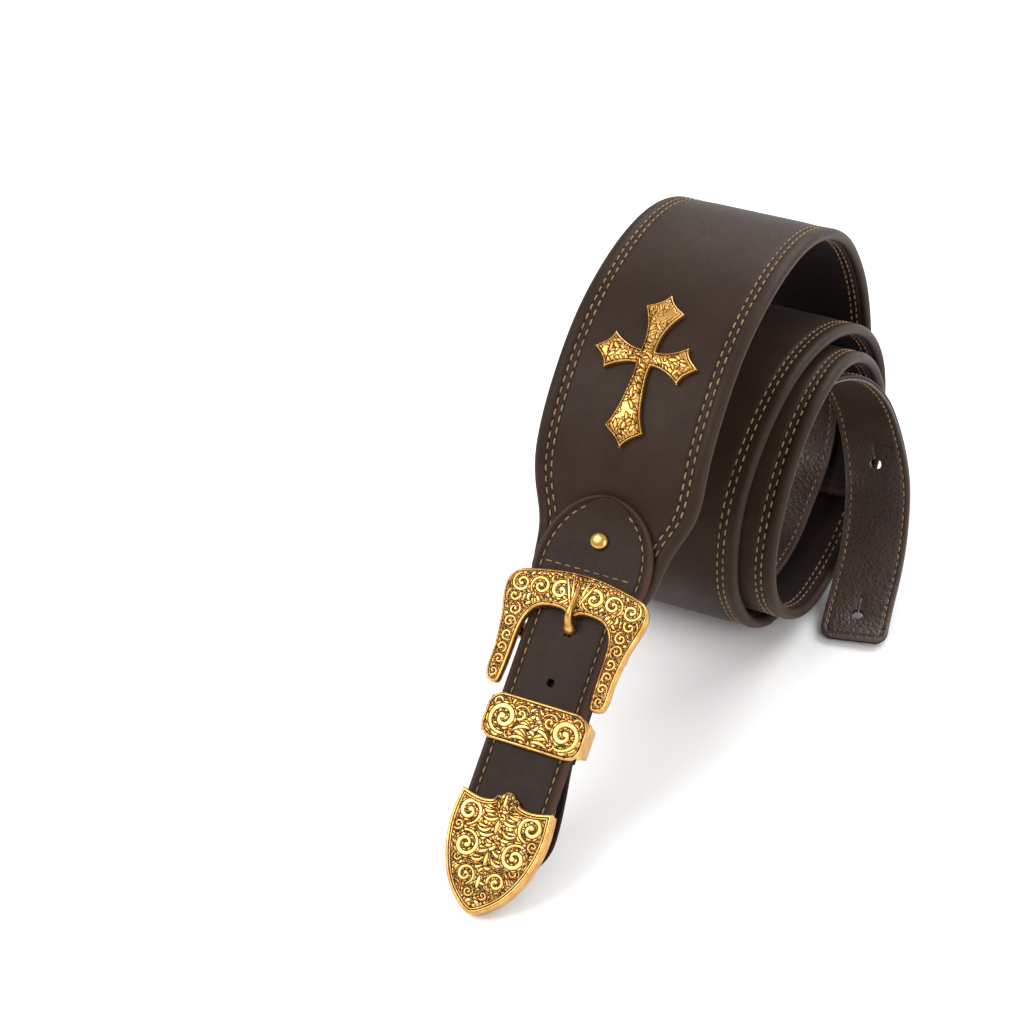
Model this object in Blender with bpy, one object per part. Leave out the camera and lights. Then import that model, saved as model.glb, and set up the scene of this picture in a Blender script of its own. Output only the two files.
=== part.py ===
"""Guitar strap rolled up on its side edge, with a buckled western lead end.

Lengths are in millimetres in this file and are scaled to metres when a mesh is made.
Frame: +X across the roll (the strap's width), -Y towards the lead end, +Z up, ground at z = 0.
A flat piece is described by u (along its route), x (across) and w (out of its outer face).
"""

import math

import bmesh
import bpy
import numpy as np
from mathutils import Vector
from mathutils.geometry import delaunay_2d_cdt

MM = 0.001
ORIGIN = (25.75, 27.4, -0.4)     # centre of the footprint, in the coordinates of the routes below

# Driving dimensions
STRAP_WIDTH = 76.0              # 3 inch main strap
STRAP_THICK = 5.0
LEATHER = 1.4
BILLET_WIDTH = 38.0             # 1 1/2 inch buckle set
TAIL_WIDTH = 31.0
PLY = 1.3                       # each ply of tail and end piece
GAP = 0.3
STATION = 10.0                  # spacing of the bends in a leather layer

# Places along the lead, measured from the very tip (u = 0)
TIP_LENGTH = 50.0
KEEPER_START = 69.5
KEEPER_LENGTH = 20.0
SPARE_HOLE = 98.5
BAR_AT = 117.0
PRONG_SLOT = (116.0, 124.4)
NECK_END = 136.0
RIVET_AT = 161.0
TAB_APEX = 181.0
CROSS_AT = 240.1                # where upright and bar cross

# Heights above the outer face of the main strap
BILLET_LOW = GAP
BILLET_SPLIT = 1.8
BILLET_TOP = 3.5
END_PLY = 1.8
BAR_RADIUS = 2.0
BAR_HEIGHT = -(GAP + END_PLY + GAP + BAR_RADIUS)
END_START = 18.0                # the end piece begins here along the lead
END_DROP = -12.6                # and hangs this low behind the tip
FLAP_HEIGHT = -(2 * GAP + 2 * END_PLY)
FLAP_END = 70.0
FOLD_RIVET_AT = 93.5
FOLD_RIVET_X = 11.0
TIP_SCREWS = (18.0, 38.0)
TIP_TOP = 6.8
CROSS_THICK = 3.4
KEEPER_HALF = 22.5
KEEPER_LOW = 9.2
KEEPER_PLAY = 3.4               # between the keeper and the flap, for the hanging end
FRAME_LOW = 3.8
FRAME_TOP = 8.6
LUG_AT = 22.2

# Route of the outer face: (x, y, z). It climbs the lead, then spirals inwards two and a half turns.
STRAP_ROUTE = [
    (0, -148.3, 0.3), (0, -118, 27.5), (0, -88, 54.4), (0, -58, 81.3),
    (0, -31, 105.5), (0, -20, 121), (0, -15, 137), (0, -8, 151), (0, 4, 165.5), (0, 21, 180),
    (0, 44, 191), (0, 70, 197), (0, 98, 197), (0, 122, 191), (0, 141, 182), (0, 157, 171),
    (0, 171, 157), (0, 184, 140), (0, 194, 122), (0, 201, 104), (0, 206, 84), (0, 207.5, 62),
    (0, 202, 39), (0, 188, 19), (0.5, 168, 5.5), (0.5, 142, 0), (0.5, 112, 0), (1, 86, 3),
    (1, 66, 13), (1, 51, 25), (1, 39.5, 39), (1, 30, 56), (1, 26.5, 76), (1, 29.5, 96),
    (1.5, 37, 111), (2.5, 48.5, 125), (3.5, 64, 135.5), (4.5, 84, 142), (5.5, 106, 143),
    (6.5, 128, 139.5), (7.5, 149, 132), (8.5, 168, 121), (9.5, 184, 106), (10.5, 194.5, 88),
    (11.5, 197.5, 68), (12.5, 193, 47), (13.5, 181, 29), (14.5, 163, 15.5), (15, 140, 8.5),
    (15.5, 114, 7), (16, 89, 11), (16, 67, 22), (16, 51.5, 35), (16, 40, 50), (16, 34.3, 68),
    (16, 36, 86), (16, 43.5, 102), (16, 55.5, 116.5), (16, 71.5, 127), (16, 91, 133),
    (16, 112, 133.5), (16, 133, 127.5), (16, 151, 117), (16, 166, 103.5), (16, 178, 87),
    (16, 185, 68), (16, 184.5, 49), (16, 175, 33), (16, 159, 21.5),
]
END_MARGIN = 8.0                # the strap stops this far before the route does

# The ladder, measured back from the strap's inner end
WINDOW_NEAR = (14.0, 44.0)
SLOTS_AT = (60.0, 80.0, 100.0, 120.0)
SLOT_LENGTH = 9.0
WINDOW_FAR = (136.0, 176.0)
LADDER_WIDTH = 35.0

# The tail: first along the ladder as (distance from the strap's inner end, height), then free
TAIL_THREADED = [
    (205, 3.6), (194, 3.6), (184, 3.5), (174, 2.9), (165, 0.8), (156, -1.8), (147, -4.6), (138, -6.2),
    (126, -6.3), (106, -6.3), (84, -6.5), (62, -6.6), (40, -6.8), (18, -6.9),
]
TAIL_FREE = [
    (16, 154.8, 27.4), (16, 139, 18), (16, 114.6, 13.8), (16, 90.7, 17.6), (16, 70.3, 28), (16, 56, 40.2),
    (17, 46.3, 53.2), (18.5, 42, 68), (20, 43, 84.3), (22, 49.8, 98.2), (24, 60.5, 110.8),
    (27, 74.8, 119.8), (30, 92, 124.8), (34, 110, 125), (38, 127, 119.5), (41.5, 140, 111.5),
    (44.5, 151, 101), (47, 160.5, 89), (49.5, 168, 74.5), (53, 171.5, 58), (57.5, 168, 42.5),
    (63, 154.3, 29.5), (68, 134.5, 17), (71, 115, 8), (73.2, 101.5, 3.4), (75.6, 90, 1.2),
]
BUTTON_HOLES = (16.0, 98.0)     # from the tail's free end


# ---------------------------------------------------------------- routes

def spline(points, step):
    """Natural cubic spline through the points, sampled about every step along its chords."""
    p = np.array(points, float)
    d = np.concatenate([[0], np.cumsum(np.linalg.norm(np.diff(p, axis=0), axis=1))])
    n = len(p)
    h = np.diff(d)
    a = np.eye(n)
    b = np.zeros((n, 3))
    for i in range(1, n - 1):
        a[i, i - 1:i + 2] = h[i - 1], 2 * (h[i - 1] + h[i]), h[i]
        b[i] = 6 * ((p[i + 1] - p[i]) / h[i] - (p[i] - p[i - 1]) / h[i - 1])
    m = np.linalg.solve(a, b)
    s = np.linspace(0, d[-1], int(d[-1] / step) + 1)
    k = np.clip(np.searchsorted(d, s, side="right") - 1, 0, n - 2)
    left = (d[k + 1] - s)[:, None]
    right = (s - d[k])[:, None]
    span = h[k][:, None]
    return ((m[k] * left**3 + m[k + 1] * right**3) / (6 * span)
            + (p[k] / span - m[k] * span / 6) * left
            + (p[k + 1] / span - m[k + 1] * span / 6) * right)


class Route:
    """A strap's run: a centre line with the across and outward directions at its stations.

    A rolled strap drifts sideways but keeps its ruling lines along x, so that its layers stay
    parallel; a twisted one turns its across direction with the centre line.
    """

    def __init__(self, points, stations, twisted=False):
        fine = spline(points, 0.25)
        run = np.concatenate([[0], np.cumsum(np.linalg.norm(np.diff(fine, axis=0), axis=1))])
        self.length = run[-1]
        self.u = np.array(stations(self.length))
        tangent = np.gradient(fine, axis=0)
        across = np.tile([1.0, 0, 0], (len(fine), 1))
        if twisted:
            tangent /= np.linalg.norm(tangent, axis=1)[:, None]
            across -= tangent * tangent[:, :1]
            across /= np.linalg.norm(across, axis=1)[:, None]
        outward = np.cross(across, tangent)
        outward /= np.linalg.norm(outward, axis=1)[:, None]
        self.table = np.column_stack([
            np.interp(self.u, run, column) for column in np.hstack([fine, across, outward]).T])

    def place(self, u, x, w):
        """Points at u along, x across and w out of the face; straight between stations."""
        row = np.column_stack([np.interp(u, self.u, column) for column in self.table.T])
        x, w = np.broadcast_to(x, len(row)), np.broadcast_to(w, len(row))
        return row[:, :3] + row[:, 3:6] * x[:, None] + row[:, 6:9] * w[:, None]


def every(step):
    """Stations at even steps from 0, with the last one at the route's end."""
    return lambda length: np.append(np.arange(0, length - step / 2, step), length)


def lead_point(u, w):
    """Centre point over the strap's centre line."""
    return tuple(strap.place([u], 0.0, w)[0])


strap = Route(STRAP_ROUTE, every(STATION))
STRAP_END = strap.length - END_MARGIN
tail = Route([lead_point(STRAP_END - s, w) for s, w in TAIL_THREADED] + TAIL_FREE, every(6.0), True)


# ---------------------------------------------------------------- flat outlines, as (u, x)

def arc(cu, cx, radius, start, stop, count):
    """Points on an arc; angles in degrees, 0 towards +u and 90 towards +x."""
    return [(cu + radius * math.cos(math.radians(t)), cx + radius * math.sin(math.radians(t)))
            for t in np.linspace(start, stop, count)]


def mirrored(half):
    """A closed outline from its +x half, given from its low end to its high end."""
    back = [(u, -x) for u, x in reversed(half) if abs(x) > 1e-6]
    return half + back


def rounded_end(u, half_width, radius, count=5):
    """The +x half of an end at u with rounded corners; the piece lies on the low side of u."""
    turn = arc(u - radius, half_width - radius, radius, 90, 0, count)
    return turn + [(u, 0.0)]


def strap_outline(inset=0.0):
    """Neck at the lead, full width along the strap, rounded inner end."""
    half = STRAP_WIDTH / 2 - inset
    neck = [(NECK_END + inset, 0.0), (NECK_END + inset, 24 - inset), (141, 26 - inset),
            (150, 28 - inset), (160, 29.5 - inset), (168, 32 - inset), (176, 35.5 - inset),
            (184, 37.5 - inset), (194, half)]
    return mirrored(neck + rounded_end(STRAP_END - inset, half, 16))


def billet_outline():
    """Pointed tip end, straight billet, then the arched tab."""
    half = BILLET_WIDTH / 2
    side = [(3.5, 0.0), (8, 5.5), (16, 11.5), (26, 16), (36, 18), (46, half), (128, half),
            (134, 20.5), (140, 23.5), (147, 25.2), (155, 25.2), (162, 23), (169, 18.5),
            (175, 12.5), (179, 6.5), (TAB_APEX, 0.0)]
    return mirrored(side)


def tail_outline():
    """A long strip with both ends rounded."""
    half = TAIL_WIDTH / 2
    start = [(0.0, 0.0)] + [(10 - u, x) for u, x in arc(0, half - 10, 10, 0, 90, 5)]
    return mirrored(start + rounded_end(tail.length, half, 6))


def circle_hole(u, x, radius, count=10):
    return arc(u, x, radius, 0, 360 - 360 / count, count)


def button_hole(u, direction, radius=2.8, slit=11.0, width=0.5):
    """Round hole with a narrow slit running from it along direction (+1 or -1) in u."""
    open_angle = math.degrees(math.asin(width / radius))
    turn = arc(0, 0, radius, open_angle, 360 - open_angle, 10)
    shape = turn + [(slit, -width * 0.6), (slit, width * 0.6)]
    return [(u + direction * a, b) for a, b in shape]


def lens_hole(u, length, width, count=9):
    """Slot across the strap with pointed ends."""
    side = [(length / 2 * math.sin(math.pi * t), width * (t - 0.5)) for t in np.linspace(0, 1, count)]
    return [(u + a, b) for a, b in side] + [(u - a, b) for a, b in reversed(side[1:-1])]


def window_hole(span, width):
    low, high, half = span[0], span[1], width / 2
    return [(low, -half), (high, -half), (high, half), (low, half)]


def ladder_holes(grow=0.0):
    """Two windows and four slots, from the strap's inner end back."""
    spans = [WINDOW_NEAR, WINDOW_FAR]
    windows = [window_hole((STRAP_END - b - grow, STRAP_END - a + grow), LADDER_WIDTH + 2 * grow)
               for a, b in spans]
    slots = [lens_hole(STRAP_END - s, SLOT_LENGTH + 2 * grow, LADDER_WIDTH + 2 * grow) for s in SLOTS_AT]
    return windows + slots


CROSS_POSTS = (CROSS_AT - 26, CROSS_AT + 12)


def strap_holes(grow=0.0):
    posts = [circle_hole(u, 0, 2.4 + grow) for u in CROSS_POSTS]
    return ladder_holes(grow) + posts + [circle_hole(RIVET_AT, 0, 1.9 + grow)]


# ---------------------------------------------------------------- meshes

def material(name, color, roughness, metallic):
    made = bpy.data.materials.new(name)
    made.use_nodes = True
    shader = made.node_tree.nodes["Principled BSDF"]
    shader.inputs["Base Color"].default_value = (*color, 1.0)
    shader.inputs["Roughness"].default_value = roughness
    shader.inputs["Metallic"].default_value = metallic
    return made


def add_object(name, points, faces, look):
    """One named closed body from points in route coordinates."""
    co = (np.asarray(points, float) - ORIGIN) * MM
    mesh = bpy.data.meshes.new(name)
    mesh.from_pydata(co.tolist(), [], [tuple(int(i) for i in f) for f in faces])
    mesh.materials.append(material(name, *look))
    bm = bmesh.new()
    bm.from_mesh(mesh)
    bmesh.ops.triangulate(bm, faces=bm.faces[:])
    bmesh.ops.recalc_face_normals(bm, faces=bm.faces[:])
    bm.to_mesh(mesh)
    bm.free()
    mesh.shade_smooth()
    mesh.set_sharp_from_angle(angle=math.radians(35))
    made = bpy.data.objects.new(name, mesh)
    bpy.context.scene.collection.objects.link(made)
    return made


def inside(point, polygon):
    """True if the point is inside the closed polygon (ray crossing rule)."""
    u, x = point
    found = False
    for (u1, x1), (u2, x2) in zip(polygon, polygon[1:] + polygon[:1]):
        if (x1 > x) != (x2 > x) and u < u1 + (x - x1) / (x2 - x1) * (u2 - u1):
            found = not found
    return found


def sheet_faces(outline, holes, cuts):
    """Triangles of a flat outline with holes, split along the lines u = cut."""
    loops = [outline, *holes]
    points, edges = [], []
    for loop in loops:
        base = len(points)
        points += loop
        edges += [(base + i, base + (i + 1) % len(loop)) for i in range(len(loop))]
    reach = max(abs(x) for _, x in outline) + 1
    for cut in cuts:
        edges.append((len(points), len(points) + 1))
        points += [(cut, -reach), (cut, reach)]
    solved = delaunay_2d_cdt([Vector(p) for p in points], edges, [], 0, 1e-3)
    verts, faces = [tuple(v) for v in solved[0]], solved[2]
    kept = []
    for face in faces:
        middle = tuple(sum(verts[i][k] for i in face) / len(face) for k in (0, 1))
        if inside(middle, outline) and not any(inside(middle, hole) for hole in holes):
            kept.append(tuple(face))
    return np.array(verts), kept


def slab(name, route, outline, holes, low, high, look):
    """A sheet cut flat, given its thickness between two heights, and bent along its route."""
    span = [u for u, _ in outline]
    cuts = [u for u in route.u if min(span) + 0.5 < u < max(span) - 0.5]
    verts, faces = sheet_faces(outline, holes, cuts)
    used = sorted({i for f in faces for i in f})
    index = {old: new for new, old in enumerate(used)}
    verts = verts[used]
    faces = [tuple(index[i] for i in f) for f in faces]
    n = len(verts)
    owners = {}
    for f in faces:
        for a, b in zip(f, f[1:] + f[:1]):
            owners.setdefault(frozenset((a, b)), []).append((a, b))
    walls = [(b, a, a + n, b + n) for (a, b), *rest in owners.values() if not rest]
    top = route.place(verts[:, 0], verts[:, 1], high)
    bottom = route.place(verts[:, 0], verts[:, 1], low)
    under = [tuple(i + n for i in reversed(f)) for f in faces]
    return add_object(name, np.vstack([top, bottom]), faces + walls + under, look)


def loft(name, rings, look):
    """A closed body through rings of equal point count, with flat caps."""
    count, sides = len(rings), len(rings[0])
    faces = [tuple(range(sides)), tuple(range((count - 1) * sides, count * sides))]
    for k in range(count - 1):
        for i in range(sides):
            j = (i + 1) % sides
            faces.append((k * sides + i, k * sides + j, (k + 1) * sides + j, (k + 1) * sides + i))
    return add_object(name, np.vstack(rings), faces, look)


def turned(name, route, u, profile, look, x=0.0, sides=16):
    """A round piece on an axis square to the strap at u: profile is (radius, height) pairs."""
    centre = route.place([u], x, 0.0)[0]
    across = route.place([u], x + 1.0, 0.0)[0] - centre
    outward = route.place([u], x, 1.0)[0] - centre
    along = np.cross(outward, across)
    angles = np.linspace(0, 2 * math.pi, sides, endpoint=False)
    spokes = np.outer(np.cos(angles), across) + np.outer(np.sin(angles), along)
    rings = [centre + outward * height + spokes * radius for radius, height in profile]
    return loft(name, rings, look)


def bar_along_x(name, route, u, height, profile, look, sides=12):
    """A round bar across the strap: profile is (radius, x) pairs."""
    angles = np.linspace(0, 2 * math.pi, sides, endpoint=False)
    rings = [route.place(u + radius * np.cos(angles), x, height + radius * np.sin(angles))
             for radius, x in profile]
    return loft(name, rings, look)


def cut_with(target, cutter):
    """Takes the cutter's shape out of the target and removes the cutter."""
    change = target.modifiers.new("cut", "BOOLEAN")
    change.operation = "DIFFERENCE"
    change.solver = "EXACT"
    change.object = cutter
    graph = bpy.context.evaluated_depsgraph_get()
    result = bpy.data.meshes.new_from_object(target.evaluated_get(graph))
    target.modifiers.clear()
    target.data = result
    bpy.data.objects.remove(cutter)
    return target


def union_with(target, other):
    """Joins another closed body to the target as one solid."""
    change = target.modifiers.new("join", "BOOLEAN")
    change.operation = "UNION"
    change.solver = "EXACT"
    change.object = other
    graph = bpy.context.evaluated_depsgraph_get()
    result = bpy.data.meshes.new_from_object(target.evaluated_get(graph))
    target.modifiers.clear()
    target.data = result
    bpy.data.objects.remove(other)
    return target


# ---------------------------------------------------------------- looks

BROWN = ((0.045, 0.026, 0.019), 0.5, 0.0)
DARK_BROWN = ((0.03, 0.017, 0.012), 0.6, 0.0)
FOAM = ((0.05, 0.05, 0.05), 0.9, 0.0)
GOLD = ((0.72, 0.46, 0.14), 0.3, 1.0)
OLD_GOLD = ((0.6, 0.38, 0.12), 0.4, 1.0)


# ---------------------------------------------------------------- leather pieces

def build_main_strap():
    layer = LEATHER
    slab("strap_face", strap, strap_outline(), strap_holes(), -layer, 0.0, BROWN)
    slab("strap_lining", strap, strap_outline(), strap_holes(), -STRAP_THICK, -STRAP_THICK + layer,
         DARK_BROWN)
    slab("strap_core", strap, strap_outline(3.0), strap_holes(1.5),
         -STRAP_THICK + layer + GAP, -layer - GAP, FOAM)


def billet_holes():
    low, high = PRONG_SLOT
    prong = [(low, -2.5), (high, -2.5), (high, 2.5), (low, 2.5)]
    screws = [circle_hole(u, 0, 1.5, 8) for u in TIP_SCREWS]
    return [prong, circle_hole(SPARE_HOLE, 0, 2.0), circle_hole(RIVET_AT, 0, 1.9), *screws]


def build_billet():
    outline, holes = billet_outline(), billet_holes()
    slab("billet_face", strap, outline, holes, BILLET_SPLIT + GAP, BILLET_TOP, BROWN)
    slab("billet_lining", strap, outline, holes, BILLET_LOW, BILLET_SPLIT, DARK_BROWN)


def end_piece_route():
    """Side view of the fold as (u, height): the long upper ply, round the bar, back below."""
    turn = BAR_RADIUS + GAP + END_PLY
    upper = [(END_START, END_DROP + 0.8), (24, END_DROP + 0.2), (30, END_DROP), (38, END_DROP + 0.4),
             (45, -10.9), (52, -8.4), (58, -5.6), (62, -3.6), (66, -1.6), (70, -GAP), (84, -GAP), (98, -GAP),
             (108, -GAP)]
    fold = [(BAR_AT + turn * math.sin(t), BAR_HEIGHT + turn * math.cos(t))
            for t in np.linspace(0, math.pi, 9)]
    lower = [(110, -7.9), (105, -6.0), (101, -4.6), (97, FLAP_HEIGHT), (88, FLAP_HEIGHT), (79, FLAP_HEIGHT),
             (FLAP_END, FLAP_HEIGHT)]
    return Route([lead_point(u, w) for u, w in upper + fold + lower], fold_stations)


def fold_stations(length):
    """Medium steps down the hanging end, long ones on the straight flap, short ones round the bar."""
    before, after = BAR_AT - END_START - 2, BAR_AT - END_START + 31
    return np.concatenate([np.arange(0, before, 6.5), np.arange(before, after, 2.0),
                           np.arange(after, length - 6, 11), [length]])


def distance_to(route, point):
    """Distance along the route to its place nearest the point."""
    along = np.arange(0.0, route.length, 0.05)
    return float(along[np.argmin(np.linalg.norm(route.place(along, 0.0, 0.0) - point, axis=1))])


def build_end_piece():
    """One strip folded round the bar and riveted; the prong's ring sits in its slot."""
    route = end_piece_route()
    half = BILLET_WIDTH / 2 - 0.2
    end = [(route.length, half), (route.length, 0.0)]
    side = [(0.0, 0.0), (0.8, 6), (3.5, 11.5), (8, 15.8), (15, 18.3), (22, half)]
    turn = BAR_RADIUS + GAP + END_PLY
    bend = distance_to(route, lead_point(BAR_AT + turn, BAR_HEIGHT))
    rivets = distance_to(route, lead_point(FOLD_RIVET_AT, -GAP))
    slot = [(bend - 13, -4.2), (bend + 13, -4.2), (bend + 13, 4.2), (bend - 13, 4.2)]
    holes = [slot, button_hole(12, 1)]
    for x in (-FOLD_RIVET_X, FOLD_RIVET_X):
        holes.append(circle_hole(rivets, x, 2.2, 8))
        holes.append(circle_hole(route.length - (FOLD_RIVET_AT - FLAP_END), x, 2.2, 8))
    slab("end_piece", route, mirrored(side + end), holes, -END_PLY, 0.0, DARK_BROWN)
    for name, x in (("left", -FOLD_RIVET_X), ("right", FOLD_RIVET_X)):
        low = FLAP_HEIGHT - 2 * GAP
        turned("end_piece_rivet_" + name, strap, FOLD_RIVET_AT,
               [(2.6, low - 1.0), (3.2, low - 0.5), (3.2, low), (1.4, low), (1.4, -0.4)], OLD_GOLD, x, 10)


def build_tail():
    holes = [button_hole(tail.length - s, -1) for s in BUTTON_HOLES]
    slab("tail_face", tail, tail_outline(), holes, -PLY, 0.0, BROWN)
    slab("tail_lining", tail, tail_outline(), holes, -2 * PLY - GAP, -PLY - GAP, DARK_BROWN)


# ---------------------------------------------------------------- metal pieces

CROSS_HALF = [     # +x half, from its foot to its head, measured from the crossing
    (-38.2, 0), (-36, 1.5), (-34.2, 3.2), (-32.6, 5.6), (-30.5, 8.2), (-25, 5.9), (-15, 3.8), (-5, 3),
    (-3, 3.3), (-3.1, 6), (-4.4, 10.5), (-8.1, 16.4), (-5.6, 17.4), (-3.6, 19.2), (0, 22.7), (3.6, 19.2),
    (5.6, 17.4), (8.1, 16.4), (4.4, 10.5), (3.1, 6), (3, 3.3), (8, 3.2), (14, 4.6), (22.2, 8.5), (23.6, 6.4),
    (25.4, 4.4), (27.6, 2.2), (30.2, 0),
]


def cross_outline():
    """Upright and bar with flared arms that end in a point between two lobes."""
    return mirrored([(CROSS_AT + u, float(x)) for u, x in CROSS_HALF])


def build_cross():
    slab("cross_ornament", strap, cross_outline(), [], GAP, CROSS_THICK, GOLD)
    back = -STRAP_THICK - GAP
    for name, u in (("lower", CROSS_POSTS[0]), ("upper", CROSS_POSTS[1])):
        turned("cross_screw_" + name, strap, u,
               [(3.2, back - 1.0), (3.8, back - 0.5), (3.8, back), (1.9, back), (1.9, 0.0)], OLD_GOLD, sides=12)


def build_tab_rivet():
    top = BILLET_TOP + GAP
    dome = [(4.0 * math.cos(t), top + 0.6 + 2.4 * math.sin(t)) for t in np.linspace(0, 1.35, 5)]
    turned("tab_rivet_cap", strap, RIVET_AT, [(1.5, -STRAP_THICK), (1.5, top), (4.0, top), *dome], GOLD)
    back = -STRAP_THICK - GAP
    turned("tab_rivet_washer", strap, RIVET_AT, [(3.4, back - 1.0), (4.4, back - 0.4), (4.4, back)],
           OLD_GOLD)


def tip_half(grow=0.0):
    """The +x half of the shield-shaped tip, from its point to its crest."""
    return [(-grow, 0.0), (2.5 - grow, 5 + grow), (8, 10.5 + grow), (16, 15 + grow),
            (26, 18.4 + grow), (36, 20.4 + grow), (43, 21.2 + grow)]


def build_tip():
    """Cap over the billet's end: a face with side walls, closed by a screwed plate behind."""
    rim = [(TIP_LENGTH - 5, 21.3), (TIP_LENGTH - 3.2, 19.5), (TIP_LENGTH - 4.6, 12),
           (TIP_LENGTH - 3.6, 5), (TIP_LENGTH, 2.4), (TIP_LENGTH + 1, 0.0)]
    shell = slab("tip_shell", strap, mirrored(tip_half() + rim), [], 0.0, TIP_TOP, GOLD)
    inner = [(u, x) for u, x in tip_half(-1.3) if u < 43]
    pocket = slab("pocket", strap, mirrored(inner + [(43, BILLET_WIDTH / 2 + 0.4), (60, BILLET_WIDTH / 2 + 0.4),
                  (60, 0.0)]), [], -4.0, BILLET_TOP + GAP, GOLD)
    cut_with(shell, pocket)
    plate = [(u, x) for u, x in tip_half(-1.7) if u < 43] + [(TIP_LENGTH - 6, 18.6), (TIP_LENGTH - 6, 0.0)]
    holes = [circle_hole(u, 0, 1.6, 8) for u in TIP_SCREWS]
    slab("tip_back_plate", strap, mirrored(plate), holes, -0.9, 0.0, OLD_GOLD)
    for name, u in (("lower", TIP_SCREWS[0]), ("upper", TIP_SCREWS[1])):
        turned("tip_screw_" + name, strap, u,
               [(2.2, -1.9), (2.6, -1.6), (2.6, -1.2), (1.2, -1.2), (1.2, BILLET_TOP)], OLD_GOLD, sides=10)


def ring_body(name, rings, look):
    """A closed band: rings of equal point count, joined round and back to the first."""
    count, sides = len(rings), len(rings[0])
    faces = []
    for k in range(count):
        after = (k + 1) % count
        for i in range(sides):
            j = (i + 1) % sides
            faces.append((k * sides + i, k * sides + j, after * sides + j, after * sides + i))
    return add_object(name, np.vstack(rings), faces, look)


def keeper_section(half, low, high, crown, count=9):
    """Closed section across the strap as (x, height): flat below, arched above."""
    arch = [(x, high + crown * (1 - (x / half) ** 2)) for x in np.linspace(half, -half, count)]
    return [(-half, low), (half, low)] + arch


def build_keeper():
    """A loop that slides over billet and end piece, with an arched face."""
    u0, u1 = KEEPER_START, KEEPER_START + KEEPER_LENGTH
    outer = [(u0, 0.8), (u0 + 2, 0.0), (u1 - 2, 0.0), (u1, 0.8)]
    rings = []
    for u, inset in outer:
        section = keeper_section(KEEPER_HALF - inset * 1.5, -KEEPER_LOW + inset * 0.5, 5.2 - inset, 1.8)
        rings.append(strap.place(np.full(len(section), u), *np.array(section).T))
    inner = keeper_section(BILLET_WIDTH / 2 + 0.5, FLAP_HEIGHT - KEEPER_PLAY, BILLET_TOP + 0.4, 0.0)
    for u in (u1, u0):
        rings.append(strap.place(np.full(len(inner), u), *np.array(inner).T))
    ring_body("keeper_loop", rings, GOLD)


FRAME_SIDE = [     # (inner u, inner x, outer u, outer x) from the foot to the middle of the top bar
    (92.7, 22.2, 92.7, 25.2), (92.0, 21.0, 92.0, 26.4), (95.5, 20.4, 94.5, 27.3), (104, 20.3, 103, 27.2),
    (112, 20.2, 112, 27.8), (119, 19.8, 121, 29.2), (124, 18.2, 129.5, 31), (127, 15, 135.5, 31.6),
    (128.2, 10.5, 140.2, 28.5), (128.4, 5.5, 143.2, 18.5), (127.2, 2.2, 144.6, 9), (126.6, 0, 145, 0),
]
FRAME_SECTION = [(0, 0), (0, 0.62), (0.12, 0.9), (0.5, 1.0), (0.88, 0.9), (1, 0.62), (1, 0)]


def build_frame():
    """Horseshoe open towards the tip, with a lug under each arm for the bar."""
    side = FRAME_SIDE + [(a, -b, c, -d) for a, b, c, d in reversed(FRAME_SIDE[:-1])]
    height = FRAME_TOP - FRAME_LOW
    rings = []
    for index, (iu, ix, ou, ox) in enumerate(side):
        end = 0.6 if index in (0, len(side) - 1) else 1.0
        u = np.array([iu + (ou - iu) * t for t, _ in FRAME_SECTION])
        x = np.array([ix + (ox - ix) * t for t, _ in FRAME_SECTION])
        w = np.array([FRAME_LOW + height * h * end for _, h in FRAME_SECTION])
        rings.append(strap.place(u, x, w))
    frame = loft("buckle_frame", rings, GOLD)
    low = BAR_HEIGHT - 3.2
    for x in (-LUG_AT, LUG_AT):
        outline = [(BAR_AT - 3.4, x - 1.6), (BAR_AT + 3.4, x - 1.6), (BAR_AT + 3.4, x + 1.6),
                   (BAR_AT - 3.4, x + 1.6)]
        union_with(frame, slab("lug", strap, outline, [], low, FRAME_LOW + 1.0, GOLD))
    drill = bar_along_x("drill", strap, BAR_AT, BAR_HEIGHT, [(1.7, -40), (1.7, 40)], GOLD)
    cut_with(frame, drill)
    inner, outer = LUG_AT - 1.6 - GAP, LUG_AT + 1.6 + GAP
    profile = [(2.2, -outer - 1), (2.2, -outer), (1.35, -outer), (1.35, -inner), (BAR_RADIUS, -inner)]
    bar_along_x("buckle_bar", strap, BAR_AT, BAR_HEIGHT,
                profile + [(radius, -x) for radius, x in reversed(profile)], OLD_GOLD)


PRONG_LINE = [     # (u, height, half width, half thickness) from the ring to the point
    (118.9, -1.9, 1.7, 1.3), (120.3, -0.2, 1.7, 1.3), (121.3, 1.8, 2.0, 1.4), (122.2, 4.0, 2.4, 1.6),
    (123.6, 6.9, 2.4, 1.6), (125.3, 10.1, 2.1, 1.4), (128, 10.9, 1.8, 1.2), (132.5, 10.6, 1.4, 1.1),
    (138, 10.1, 0.9, 0.7),
]


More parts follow.
